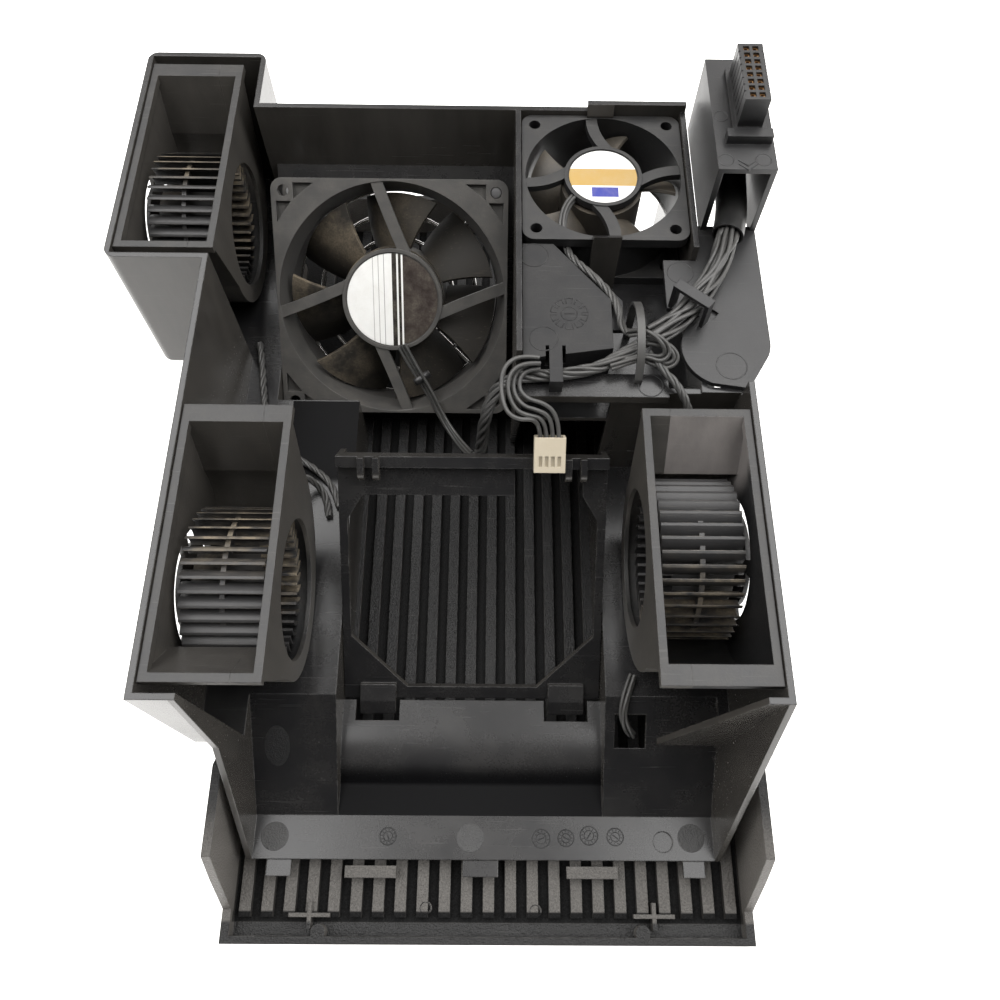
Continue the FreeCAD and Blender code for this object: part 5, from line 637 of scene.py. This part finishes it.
patchLook = {
    **plainPlastic, "dark": (0.022, 0.022, 0.0225), "light": (0.045, 0.045, 0.045),
    "wearAndHighlight": (0.08, 0.08, 0.08), "rough": 0.5, "grainScale": 1700, "cloudScale": 700, "grain": 0.9,
    "grainDepth": 0.0004, "dust": 0.2, "dustPatch": 200, "dustColour": (0.14, 0.135, 0.125), "edge": 0.0002,
    "scratch": 0.1,
}
markLook = {
    **patchLook, "dark": (0.006, 0.006, 0.0065), "light": (0.012, 0.012, 0.0125),
    "rough": 0.6, "grain": 0.3, "dust": 0.05,
}
ovalLook = {
    **patchLook, "dark": (0.006, 0.006, 0.0065), "light": (0.016, 0.016, 0.0165),
    "rough": 0.4, "dust": 0.02, "ior": 1.35,
}


# what dust, scratches and grain add to a metal
metalShare = {"dustRough": 0.5, "scratchRough": 0.25, "grainDepth": 0.5, "scratchDepth": -0.5,
              "depth": 0.0001}


# metal with drawn lines and a slight tarnish
def metalFinish(name, look):
    material, tree, surface = blank(name)
    grain = grainOf(tree, look)
    dust = dustOf(tree, look)
    lines = scratchesOf(tree, look)
    shade = mixColour(tree, grain.outputs["Cloud"], look["bright"], look["tarnish"])
    shade = mixColour(tree, dust.outputs["Dust"], shade, look["dustColour"])
    tree.links.new(shade, surface.inputs["Base Color"])
    rough = addUp(tree, (grain.outputs["Cloud"], look["roughSpread"]),
                  (dust.outputs["Dust"], metalShare["dustRough"]),
                  (lines.outputs["Scratch"], metalShare["scratchRough"]))
    tree.links.new(offset(tree, rough, look["rough"]), surface.inputs["Roughness"])
    bump = put(tree, "ShaderNodeBump", {"Strength": look["grain"], "Distance": metalShare["depth"]})
    height = addUp(tree, (grain.outputs["Grain"], metalShare["grainDepth"]),
                   (lines.outputs["Scratch"], metalShare["scratchDepth"]))
    tree.links.new(height, bump.inputs["Height"])
    tree.links.new(bump.outputs["Normal"], surface.inputs["Normal"])
    surface.inputs["Metallic"].default_value = 1.0
    return material


# what most of the metals share
plainMetal = {
    "grainScale": 1800, "dust": 0.10, "dustPatch": 120, "scratchScale": 90,
}
chromeLook = {
    **plainMetal, "bright": (0.80, 0.80, 0.79), "tarnish": (0.62, 0.61, 0.59), "rough": 0.10,
    "roughSpread": 0.14, "grainScale": 1600, "cloudScale": 90, "grain": 0.08, "dust": 0.12,
    "dustColour": (0.30, 0.27, 0.22), "scratch": 0.3,
}
steelLook = {
    **plainMetal, "bright": (0.56, 0.56, 0.57), "tarnish": (0.42, 0.42, 0.42), "rough": 0.26,
    "roughSpread": 0.18, "grainScale": 1600, "cloudScale": 70, "grain": 0.12,
    "dustColour": (0.28, 0.25, 0.20), "scratch": 0.5,
}
contactLook = {
    **plainMetal, "bright": (0.72, 0.42, 0.20), "tarnish": (0.46, 0.25, 0.11), "rough": 0.22,
    "roughSpread": 0.22, "cloudScale": 260, "grain": 0.12, "dustPatch": 200, "dustColour": (0.20, 0.15, 0.10),
    "scratch": 0.4, "scratchScale": 140,
}
copperLook = {
    **plainMetal, "bright": (0.66, 0.30, 0.15), "tarnish": (0.42, 0.17, 0.08), "rough": 0.28,
    "roughSpread": 0.2, "cloudScale": 140, "grain": 0.2, "dustPatch": 160, "dustColour": (0.20, 0.15, 0.10),
    "scratch": 0.4, "scratchScale": 140,
}
magnetLook = {
    **plainMetal, "bright": (0.10, 0.10, 0.10), "tarnish": (0.06, 0.06, 0.06), "rough": 0.45,
    "roughSpread": 0.15, "cloudScale": 90, "grain": 0.25, "dustColour": (0.16, 0.14, 0.12), "scratch": 0.2,
}

plastics = {
    "duct": ("ductPlastic", ductLook), "cover": ("coverPlastic", coverLook), "lid": ("lidPlastic", lidLook),
    "bracket": ("bracketPlastic", bracketLook), "blower": ("blowerPlastic", blowerLook),
    "rightBlower": ("rightBlowerPlastic", rightBlowerLook), "wheel": ("dustyWheelPlastic", wheelLook),
    "rightWheel": ("rightWheelPlastic", rightWheelLook), "fan": ("fanPlastic", fanLook),
    "largeFrame": ("dustyFramePlastic", largeFrameLook), "blade": ("dustyBladePlastic", bladeLook),
    "largeBlade": ("dustierBladePlastic", largeBladeLook), "sheath": ("wireSheath", sheathLook),
    "sleeve": ("shrinkSleeve", sleeveLook), "plug": ("plugPlastic", plugLook),
    "socket": ("socketPlastic", socketLook), "board": ("boardLaminate", boardLook),
    "grainPatch": ("grainPatch", patchLook), "mark": ("stampedMark", markLook),
    "oval": ("dottedOval", ovalLook),
}
metals = {
    "chrome": ("guardChrome", chromeLook), "steel": ("shaftSteel", steelLook),
    "contact": ("contactMetal", contactLook), "copper": ("coilCopper", copperLook),
    "magnet": ("ringMagnet", magnetLook),
}
finishes = {key: mouldedPlastic(*named) for key, named in plastics.items()}
finishes.update({key: metalFinish(*named) for key, named in metals.items()})
print("finishes built: %d" % len(finishes))

partFinish = {
    "air_duct": "duct", "outer_cover": "cover", "fan_bay_frame": "duct", "wire_cover": "lid",
    "connector_bracket": "bracket", "connector_housing": "socket", "connector_contacts": "contact",
    "finger_guard": "chrome", "guard_screws": "steel", "harness_sleeve": "sleeve", "cable_tie": "sheath",
    "spare_plug": "plug", "right_blower_wheel": "rightWheel", "large_fan_frame": "largeFrame",
    "right_blower_base": "rightBlower", "large_fan_impeller": "largeBlade",
}
endingFinish = {
    "_frame": "fan", "_impeller": "blade", "_yoke": "steel", "_magnet": "magnet", "_stator": "copper",
    "_shaft": "steel", "_bearings": "steel", "_board": "board", "_base": "blower", "_cover": "blower",
    "_wheel": "wheel",
}


def dress(piece, material):
    piece.data.materials.clear()
    piece.data.materials.append(material)


for name, part in parts.items():
    key = partFinish.get(name)
    if key is None:
        key = next((value for ending, value in endingFinish.items() if name.endswith(ending)), "sheath")
    dress(part, finishes[key])
for piece in looseWires + bundles:
    dress(piece, finishes["sheath"])
print("parts dressed")


# wires that are seen beside the bundles: turned back under the tie, along the small fan, into the ramp's hole
extraWires = {
    "foldedWires": {
        "routes": [
            [(0.0690, 0.0268, 0.0990), (0.0745, 0.0262, 0.1010), (0.0800, 0.0240, 0.1000),
             (0.0822, 0.0212, 0.0975), (0.0795, 0.0192, 0.0960), (0.0745, 0.0206, 0.0962),
             (0.0690, 0.0226, 0.0968), (0.0640, 0.0212, 0.0962)],
            [(0.0665, 0.0300, 0.0994), (0.0705, 0.0288, 0.1030), (0.0760, 0.0256, 0.1032),
             (0.0792, 0.0226, 0.1000), (0.0770, 0.0206, 0.0978), (0.0720, 0.0216, 0.0985),
             (0.0665, 0.0208, 0.0975), (0.0600, 0.0186, 0.0962)],
        ],
        "strand": 0.0014, "rings": [(3, 0.0009)], "pitch": 0.05, "waver": 240, "seed": 21,
    },
    "smallFanLeadOut": {
        "routes": [[(0.0520, 0.0934, 0.0978), (0.0492, 0.0902, 0.0982), (0.0468, 0.0862, 0.0985),
                    (0.0452, 0.0810, 0.0985), (0.0448, 0.0760, 0.0982), (0.0452, 0.0722, 0.0975)]],
        "strand": 0.0013, "rings": [(4, 0.0011)], "pitch": 0.2, "waver": 120, "seed": 22,
    },
    "rampClipWires": {
        "routes": [[(0.0705, -0.0720, 0.0400), (0.0688, -0.0765, 0.0385), (0.0672, -0.0815, 0.0375),
                    (0.0668, -0.0860, 0.0350), (0.0690, -0.0895, 0.0305), (0.0712, -0.0905, 0.0260)]],
        "strand": 0.0013, "rings": [(4, 0.0010)], "pitch": 0.08, "waver": 200, "seed": 23,
    },
}
for name, bundle in extraWires.items():
    dress(layBundle(name, bundle), finishes["sheath"])
print("extra wires laid: %d" % len(extraWires))


# small dark band that holds the large fan's wires side by side
wireBand = {"spot": (-0.0086, 0.0512, 0.0364), "heading": (0.58, -0.72, -0.66), "across": 0.0034,
            "tall": 0.0013, "long": 0.0028, "wall": 0.0005, "sides": 28}


def meshPiece(name, shape, material):
    mesh = bpy.data.meshes.new(name)
    shape.normal_update()
    shape.to_mesh(mesh)
    shape.free()
    piece = show(bpy.data.objects.new(name, mesh))
    dress(piece, material)
    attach(piece, "housing")
    return piece


# faces between loops of points, one after another
def skin(shape, loops, smooth=False):
    for first, second in zip(loops, loops[1:]):
        for k in range(len(first)):
            after = (k + 1) % len(first)
            shape.faces.new((first[k], first[after], second[after], second[k])).smooth = smooth


def bandRound(look):
    heading = Vector(look["heading"]).normalized()
    across = heading.cross(Vector((0, 0, 1))).normalized()
    out = across.cross(heading)
    sides = look["sides"]
    shape = bmesh.new()
    loops = []
    for wall, share in ((look["wall"], -0.5), (look["wall"], 0.5), (0.0, 0.5), (0.0, -0.5)):
        middle = Vector(look["spot"]) + heading * look["long"] * share
        wide, high = across * (look["across"] + wall), out * (look["tall"] + wall)
        loops.append([shape.verts.new(middle + wide * math.cos(math.tau * k / sides)
                                      + high * math.sin(math.tau * k / sides)) for k in range(sides)])
    skin(shape, loops + loops[:1], smooth=True)
    return meshPiece("wireBand", shape, finishes["socket"])


bandRound(wireBand)
print("wire band set")


# a low moulded line along points on a plane, with sloping sides; closed for a ring
def raisedLine(shape, spots, width, rise, place, closed=False):
    profile = ((-width / 2, -rise), (-width / 4, rise), (width / 4, rise), (width / 2, -rise))
    rails = []
    last = len(spots) - 1
    for i, spot in enumerate(spots):
        before = spots[i - 1] if closed or i else spot
        after = spots[(i + 1) % len(spots)] if closed or i < last else spot
        along = (Vector(after) - Vector(before)).normalized()
        out = Vector((-along.y, along.x))
        rails.append([shape.verts.new(place @ Vector((spot[0] + out.x * off, spot[1] + out.y * off, height)))
                      for off, height in profile])
    for i in range(len(rails) if closed else last):
        first, second = rails[i], rails[(i + 1) % len(rails)]
        for k in range(3):
            shape.faces.new((first[k], second[k], second[k + 1], first[k + 1]))
    if not closed:
        shape.faces.new(rails[0])
        shape.faces.new(rails[-1][::-1])


def arcSpots(radius, start, end, count, centre=(0.0, 0.0)):
    return [(centre[0] + radius * math.cos(start + (end - start) * k / count),
             centre[1] + radius * math.sin(start + (end - start) * k / count)) for k in range(count + 1)]


roundSides = 40


def ring(shape, radius, width, rise, place):
    raisedLine(shape, arcSpots(radius, 0, math.tau, roundSides)[:-1], width, rise, place, closed=True)


padProfile = ((1.0, -1.0), (0.99, 0.6), (0.95, 1.0), (0.5, 1.05))  # shares of the radius and the rise


# a flat pad with a rounded shoulder, round or oval
def roundPad(shape, across, along, rise, place, sides=roundSides):
    loops = []
    for scale, height in padProfile:
        loops.append([shape.verts.new(place @ Vector((across * scale * math.cos(math.tau * k / sides),
                                                      along * scale * math.sin(math.tau * k / sides),
                                                      rise * height)))
                      for k in range(sides)])
    skin(shape, loops)
    shape.faces.new(loops[-1])


# round marks that the mould's pins and stamps leave, by the face that they are on
mouldMarks = {
    "line": 0.0006,
    "rise": 0.00013,
    "pins": {  # spot, radius
        "lid": [((0.0346, 0.0635, 0.0985), 0.0050), ((0.0375, 0.0282, 0.0985), 0.0048)],
        "bracket": [((0.1012, 0.0203, 0.0950), 0.0052), ((0.0868, 0.0592, 0.0950), 0.0046),
                    ((0.0985, 0.1027, 0.1250), 0.0024), ((0.0983, 0.0826, 0.1250), 0.0026),
                    ((0.1111, 0.0828, 0.1250), 0.0026)],
        "duct": [((0.0738, 0.0140, 0.0920), 0.0042)],
        "cover": [((-0.0015, -0.1469, 0.0052), 0.0019), ((0.0370, -0.1477, 0.0052), 0.0019)],
    },
    "dials": {  # spot, radius, turn
        "duct": [((-0.0153, -0.1238, 0.0120), 0.0029, 0.4), ((0.0390, -0.1243, 0.0120), 0.0031, 2.0),
                 ((0.0478, -0.1241, 0.0120), 0.0028, 1.1), ((0.0560, -0.1232, 0.0120), 0.0031, -0.6),
                 ((0.0653, -0.1236, 0.0120), 0.0029, 0.9)],
    },
    "dialLook": {"inner": 0.55, "innerLine": 0.8, "needle": 0.4, "ticks": 12, "tick": (0.68, 0.86),
                 "tickLine": 0.7},
    "discRise": 0.00012,
    "grainDiscs": [((-0.0553, -0.1240, 0.0120), 0.0049), ((0.0138, -0.1242, 0.0120), 0.0049),
                   ((0.0922, -0.1239, 0.0120), 0.0048)],
    "rampOval": {"spot": (-0.0545, -0.0950, 0.02615), "tilt": 33.16, "across": 0.0046, "along": 0.0078,
                 "rise": 0.0001},
    "lidDial": {"spot": (0.0464, 0.0385, 0.0985), "inner": 0.0028, "low": 0.0043, "high": 0.0064,
                "fields": 10, "field": 0.33, "needle": 0.6, "steps": 6},
    "towerArrow": {"spot": (0.1056, 0.0826, 0.1250), "half": 0.0031, "drop": 0.0026, "shifts": (0.0, -0.0018),
                   "wide": 1.2, "tall": 2},
}
markSlot = {"lid": "lid_plastic", "bracket": "bracket_plastic", "duct": "duct_plastic",
            "cover": "cover_plastic"}


def addMarks(marks):
    line, rise = marks["line"], marks["rise"]
    shapes = {key: bmesh.new() for key in markSlot}
    for key, pins in marks["pins"].items():
        for spot, radius in pins:
            ring(shapes[key], radius, line, rise, Matrix.Translation(spot))
    look = marks["dialLook"]
    for key, dials in marks["dials"].items():
        for spot, radius, turn in dials:
            place = Matrix.Translation(spot) @ Matrix.Rotation(turn, 4, "Z")
            needle = radius * look["needle"]
            ring(shapes[key], radius, line, rise, place)
            ring(shapes[key], radius * look["inner"], line * look["innerLine"], rise, place)
            raisedLine(shapes[key], [(0.0, -needle), (0.0, needle)], line, rise, place)
            for k in range(look["ticks"]):
                angle = math.tau * k / look["ticks"]
                tick = [(radius * reach * math.cos(angle), radius * reach * math.sin(angle))
                        for reach in look["tick"]]
                raisedLine(shapes[key], tick, line * look["tickLine"], rise, place)
    dial = marks["lidDial"]
    place = Matrix.Translation(dial["spot"])
    needle = dial["inner"] * dial["needle"]
    ring(shapes["lid"], dial["inner"], line, rise, place)
    raisedLine(shapes["lid"], [(-needle, 0.0), (needle, 0.0)], line, rise, place)
    for k in range(dial["fields"]):
        middle = math.tau * (k + 0.5) / dial["fields"]
        half = math.tau / dial["fields"] * dial["field"]
        field = arcSpots(dial["high"], middle - half, middle + half, dial["steps"])
        raisedLine(shapes["lid"], field, line, rise, place)
        for angle in (middle - half, middle + half):
            raisedLine(shapes["lid"], [(reach * math.cos(angle), reach * math.sin(angle))
                                       for reach in (dial["low"], dial["high"])], line, rise, place)
    arrow = marks["towerArrow"]
    for shift in arrow["shifts"]:
        stroke = [(-arrow["half"], shift), (0.0, shift - arrow["drop"]), (arrow["half"], shift)]
        raisedLine(shapes["bracket"], stroke, line * arrow["wide"], rise * arrow["tall"],
                   Matrix.Translation(arrow["spot"]))
    for key, shape in shapes.items():
        meshPiece(key + "MouldMarks", shape, finishes["mark" if key == "duct" else key])
    rough = bmesh.new()
    for spot, radius in marks["grainDiscs"]:
        roundPad(rough, radius, radius, marks["discRise"], Matrix.Translation(spot))
    meshPiece("grainDiscs", rough, finishes["grainPatch"])
    oval = marks["rampOval"]
    place = Matrix.Translation(oval["spot"]) @ Matrix.Rotation(math.radians(oval["tilt"]), 4, "X")
    dotted = bmesh.new()
    roundPad(dotted, oval["across"], oval["along"], oval["rise"], place)
    meshPiece("rampOval", dotted, finishes["oval"])


addMarks(mouldMarks)
print("mould marks added")


# painted shade: dark sheets laid just above the scoop's foot, level with the ramps, and over the channel
# behind the left blower, where these floors are dark in shade
paintedShadeFloors = {
    "shade": (0.0022, 0.0022, 0.0025), "shine": 0.06, "rough": 0.35, "lift": 0.00006, "steps": 24,
    "lighter": 1.6, "roughSpread": 0.2, "grainScale": 1500.0, "cloudScale": 22.0,
    "scoopFoot": {"left": -0.0334, "right": 0.0609, "rear": -0.0985, "front": -0.1168, "floor": 0.0120,
                  "curve": (-0.08154, -0.02577, 0.045), "fade": (1.0, 0.58)},
    "leftChannel": {"left": -0.0600, "right": -0.0333, "rear": 0.0395, "front": 0.0010, "floor": 0.0367,
                    "fade": (0.0, 0.14)},
}


# near-black, barely shiny finish for the painted shade sheets, fading out along the box
def paintedShadeFinish(name, looks, fade):
    material, tree, surface = blank(name)
    grain = grainOf(tree, looks)
    lighter = tuple(value * looks["lighter"] for value in looks["shade"])
    shade = mixColour(tree, grain.outputs["Cloud"], looks["shade"], lighter)
    tree.links.new(shade, surface.inputs["Base Color"])
    rough = offset(tree, addUp(tree, (grain.outputs["Cloud"], looks["roughSpread"])), looks["rough"])
    tree.links.new(rough, surface.inputs["Roughness"])
    tree.links.new(alongBox(tree, *fade), surface.inputs["Alpha"])
    surface.inputs["Specular IOR Level"].default_value = looks["shine"]
    return material


def layPaintedShadeFloor(name, looks):
    floor = looks[name]
    shape = bmesh.new()
    edges = []
    for k in range(looks["steps"] + 1):
        y = floor["rear"] + (floor["front"] - floor["rear"]) * k / looks["steps"]
        z = floor["floor"]
        if "curve" in floor:
            middle, low, radius = floor["curve"]
            z = max(z, low + math.sqrt(radius ** 2 - (y - middle) ** 2))
        edges.append([shape.verts.new((x, y, z + looks["lift"])) for x in (floor["left"], floor["right"])])
    for first, second in zip(edges, edges[1:]):
        shape.faces.new((first[0], second[0], second[1], first[1])).smooth = True
    return meshPiece(name, shape, paintedShadeFinish(name + "ShadeSheet", looks, floor["fade"]))


for name in ("scoopFoot", "leftChannel"):
    layPaintedShadeFloor(name, paintedShadeFloors)
print("painted shade floors laid")


# paper labels in the hubs, with plain fields and rules
largeLabel = {
    "spot": (-0.0202, 0.0750, 0.0563), "tilt": 43.0, "sink": 0.0006, "radius": 0.0183, "thick": 0.0002,
    "shine": 0.12, "paper": (0.80, 0.80, 0.78),
    "fields": [  # axis, from, to, colour, as shares of the radius
        ("X", 0.0, 0.10, (0.015, 0.013, 0.012)), ("X", 0.14, 0.20, (0.015, 0.013, 0.012)),
        ("X", 0.24, 1.1, (0.030, 0.023, 0.021)), ("X", -0.18, -0.165, (0.30, 0.29, 0.28)),
        ("X", -0.30, -0.285, (0.34, 0.33, 0.32)), ("X", -0.42, -0.405, (0.38, 0.37, 0.36)),
    ],
}
smallLabel = {
    "spot": (0.0605, 0.0995, 0.1000), "tilt": 0.0, "sink": 0.0006, "radius": 0.0127, "thick": 0.0002,
    "shine": 0.3, "paper": (0.82, 0.82, 0.80),
    "fields": [
        ("Y", -0.36, 0.28, (0.40, 0.26, 0.08)),
        ("block", (-0.35, 0.42), (-0.78, -0.42), (0.035, 0.045, 0.26)),
    ],
}
labelStock = {
    "grainScale": 2600.0, "cloudScale": 90.0, "grain": 0.08, "grainDepth": 0.0001, "darker": 0.9, "sides": 72,
    "dust": 0.25, "dustPatch": 160.0, "dustColour": (0.42, 0.38, 0.31), "dustRough": 0.3, "roughSpread": 0.2,
    "rough": 0.28,
}


def between(tree, value, low, high):
    above = put(tree, "ShaderNodeMath", {1: low}, operation="GREATER_THAN")
    below = put(tree, "ShaderNodeMath", {1: high}, operation="LESS_THAN")
    tree.links.new(value, above.inputs[0])
    tree.links.new(value, below.inputs[0])
    return product(tree, above.outputs[0], below.outputs[0])


def labelPaper(name, label):
    material, tree, surface = blank(name)
    stock = labelStock
    place = put(tree, "ShaderNodeTexCoord")
    split = put(tree, "ShaderNodeSeparateXYZ")
    join(tree, (place, "Object", split, 0))
    grain = grainOf(tree, stock)
    dust = dustOf(tree, stock)
    paper = label["paper"]
    shade = mixColour(tree, grain.outputs["Cloud"], paper, tuple(value * stock["darker"] for value in paper))
    radius = label["radius"]
    for axis, first, second, colour in label["fields"]:
        if axis == "block":
            mask = product(tree, between(tree, split.outputs["X"], first[0] * radius, first[1] * radius),
                           between(tree, split.outputs["Y"], second[0] * radius, second[1] * radius))
        else:
            mask = between(tree, split.outputs[axis], first * radius, second * radius)
        shade = mixColour(tree, mask, shade, colour)
    shade = mixColour(tree, dust.outputs["Dust"], shade, stock["dustColour"])
    tree.links.new(shade, surface.inputs["Base Color"])
    rough = addUp(tree, (grain.outputs["Cloud"], stock["roughSpread"]),
                  (dust.outputs["Dust"], stock["dustRough"]))
    tree.links.new(offset(tree, rough, stock["rough"]), surface.inputs["Roughness"])
    bump = put(tree, "ShaderNodeBump", {"Strength": stock["grain"], "Distance": stock["grainDepth"]})
    join(tree, (grain, "Grain", bump, "Height"), (bump, "Normal", surface, "Normal"))
    surface.inputs["Specular IOR Level"].default_value = label["shine"]
    return material


def stickLabel(name, label):
    shape = bmesh.new()
    roundPad(shape, label["radius"], label["radius"], label["thick"], Matrix.Identity(4), labelStock["sides"])
    piece = meshPiece(name, shape, labelPaper(name + "Paper", label))
    tilt = Matrix.Rotation(math.radians(label["tilt"]), 4, "X")
    piece.matrix_world = Matrix.Translation(label["spot"]) @ tilt @ Matrix.Translation((0, 0, -label["sink"]))
    return piece


labels = [stickLabel("largeFanLabel", largeLabel), stickLabel("smallFanLabel", smallLabel)]
print("labels placed: %d" % len(labels))


# pale floor and soft light
studio = {
    "floorSize": 6.0,
    "floorShade": (0.90, 0.90, 0.895),
    "floorPale": (0.93, 0.93, 0.925),
    "floorRough": 0.9,
    "grainScale": 300.0, "cloudScale": 3.0,
    "floorGlow": (1.0, 0.985, 0.96),
    "floorGlowStrength": 0.9,
    "skyStrength": 0.9,
    "skyTint": (1.0, 0.962, 0.925),
    "skyLow": 0.06,       # brightness low down in front, where the room is dark
    "skyAim": (0.0, 0.30, 0.954),
    "skyRange": (0.40, 0.92),
    "skyGap": (0.02, 0.22, 0.62, 1.35),  # darker between two wide lights, by the share of X in the direction
    "lamps": [
        # spot, aim, size, watts
        ((-0.52, 0.35, 1.3), (-0.52, 0.25, 0.0), (0.62, 1.7), 16.0),
        ((0.52, 0.35, 1.3), (0.52, 0.25, 0.0), (0.62, 1.7), 16.0),
        ((-1.2, -0.1, 0.9), (0.0, 0.0, 0.05), (0.9, 0.9), 6.0),
        ((1.2, -0.1, 0.9), (0.0, 0.0, 0.05), (0.9, 0.9), 12.0),
    ],
}


def buildStudio(setup):
    size = setup["floorSize"] / 2
    mesh = bpy.data.meshes.new("studioFloor")
    mesh.from_pydata([(-size, -size, 0), (size, -size, 0), (size, size, 0), (-size, size, 0)], [],
                     [(0, 1, 2, 3)])
    floor = show(bpy.data.objects.new("studioFloor", mesh))
    material, tree, surface = blank("paperFloor")
    grain = grainOf(tree, setup)
    shade = mixColour(tree, grain.outputs["Cloud"], setup["floorShade"], setup["floorPale"])
    tree.links.new(shade, surface.inputs["Base Color"])
    surface.inputs["Roughness"].default_value = setup["floorRough"]
    surface.inputs["Emission Color"].default_value = (*setup["floorGlow"], 1.0)
    surface.inputs["Emission Strength"].default_value = setup["floorGlowStrength"]
    floor.data.materials.append(material)
    world = bpy.data.worlds.new("studioSky")
    world.use_nodes = True
    sky = world.node_tree
    heading = put(sky, "ShaderNodeTexCoord")
    upward = put(sky, "ShaderNodeVectorMath", {1: setup["skyAim"]}, operation="DOT_PRODUCT")
    bright = put(sky, "ShaderNodeMapRange",
                 {"From Min": setup["skyRange"][0], "From Max": setup["skyRange"][1],
                  "To Min": setup["skyLow"]},
                 interpolation_type="SMOOTHSTEP")
    split = put(sky, "ShaderNodeSeparateXYZ")
    beside = put(sky, "ShaderNodeMath", operation="ABSOLUTE")
    near, far, middle, sides = setup["skyGap"]
    gap = put(sky, "ShaderNodeMapRange",
              {"From Min": near, "From Max": far, "To Min": middle, "To Max": sides},
              interpolation_type="SMOOTHSTEP")
    join(sky, (heading, "Generated", upward, 0), (upward, "Value", bright, "Value"),
         (heading, "Generated", split, 0), (split, "X", beside, 0), (beside, 0, gap, "Value"))
    tint = mixColour(sky, product(sky, bright.outputs["Result"], gap.outputs["Result"]), (0.0, 0.0, 0.0),
                     setup["skyTint"])
    tint.node.clamp_factor = False
    back = sky.nodes["Background"]
    sky.links.new(tint, back.inputs["Color"])
    back.inputs["Strength"].default_value = setup["skyStrength"]
    bpy.context.scene.world = world
    for number, (spot, aim, size, watts) in enumerate(setup["lamps"], start=1):
        data = bpy.data.lights.new("softbox%d" % number, "AREA")
        data.shape = "RECTANGLE"
        data.size = size[0]
        data.size_y = size[1]
        data.energy = watts
        lamp = show(bpy.data.objects.new("softbox%d" % number, data))
        lamp.location = spot
        lamp.rotation_euler = (Vector(aim) - Vector(spot)).to_track_quat("-Z", "Y").to_euler()
    bpy.context.scene.view_settings.view_transform = "Standard"


buildStudio(studio)
print("studio lit")
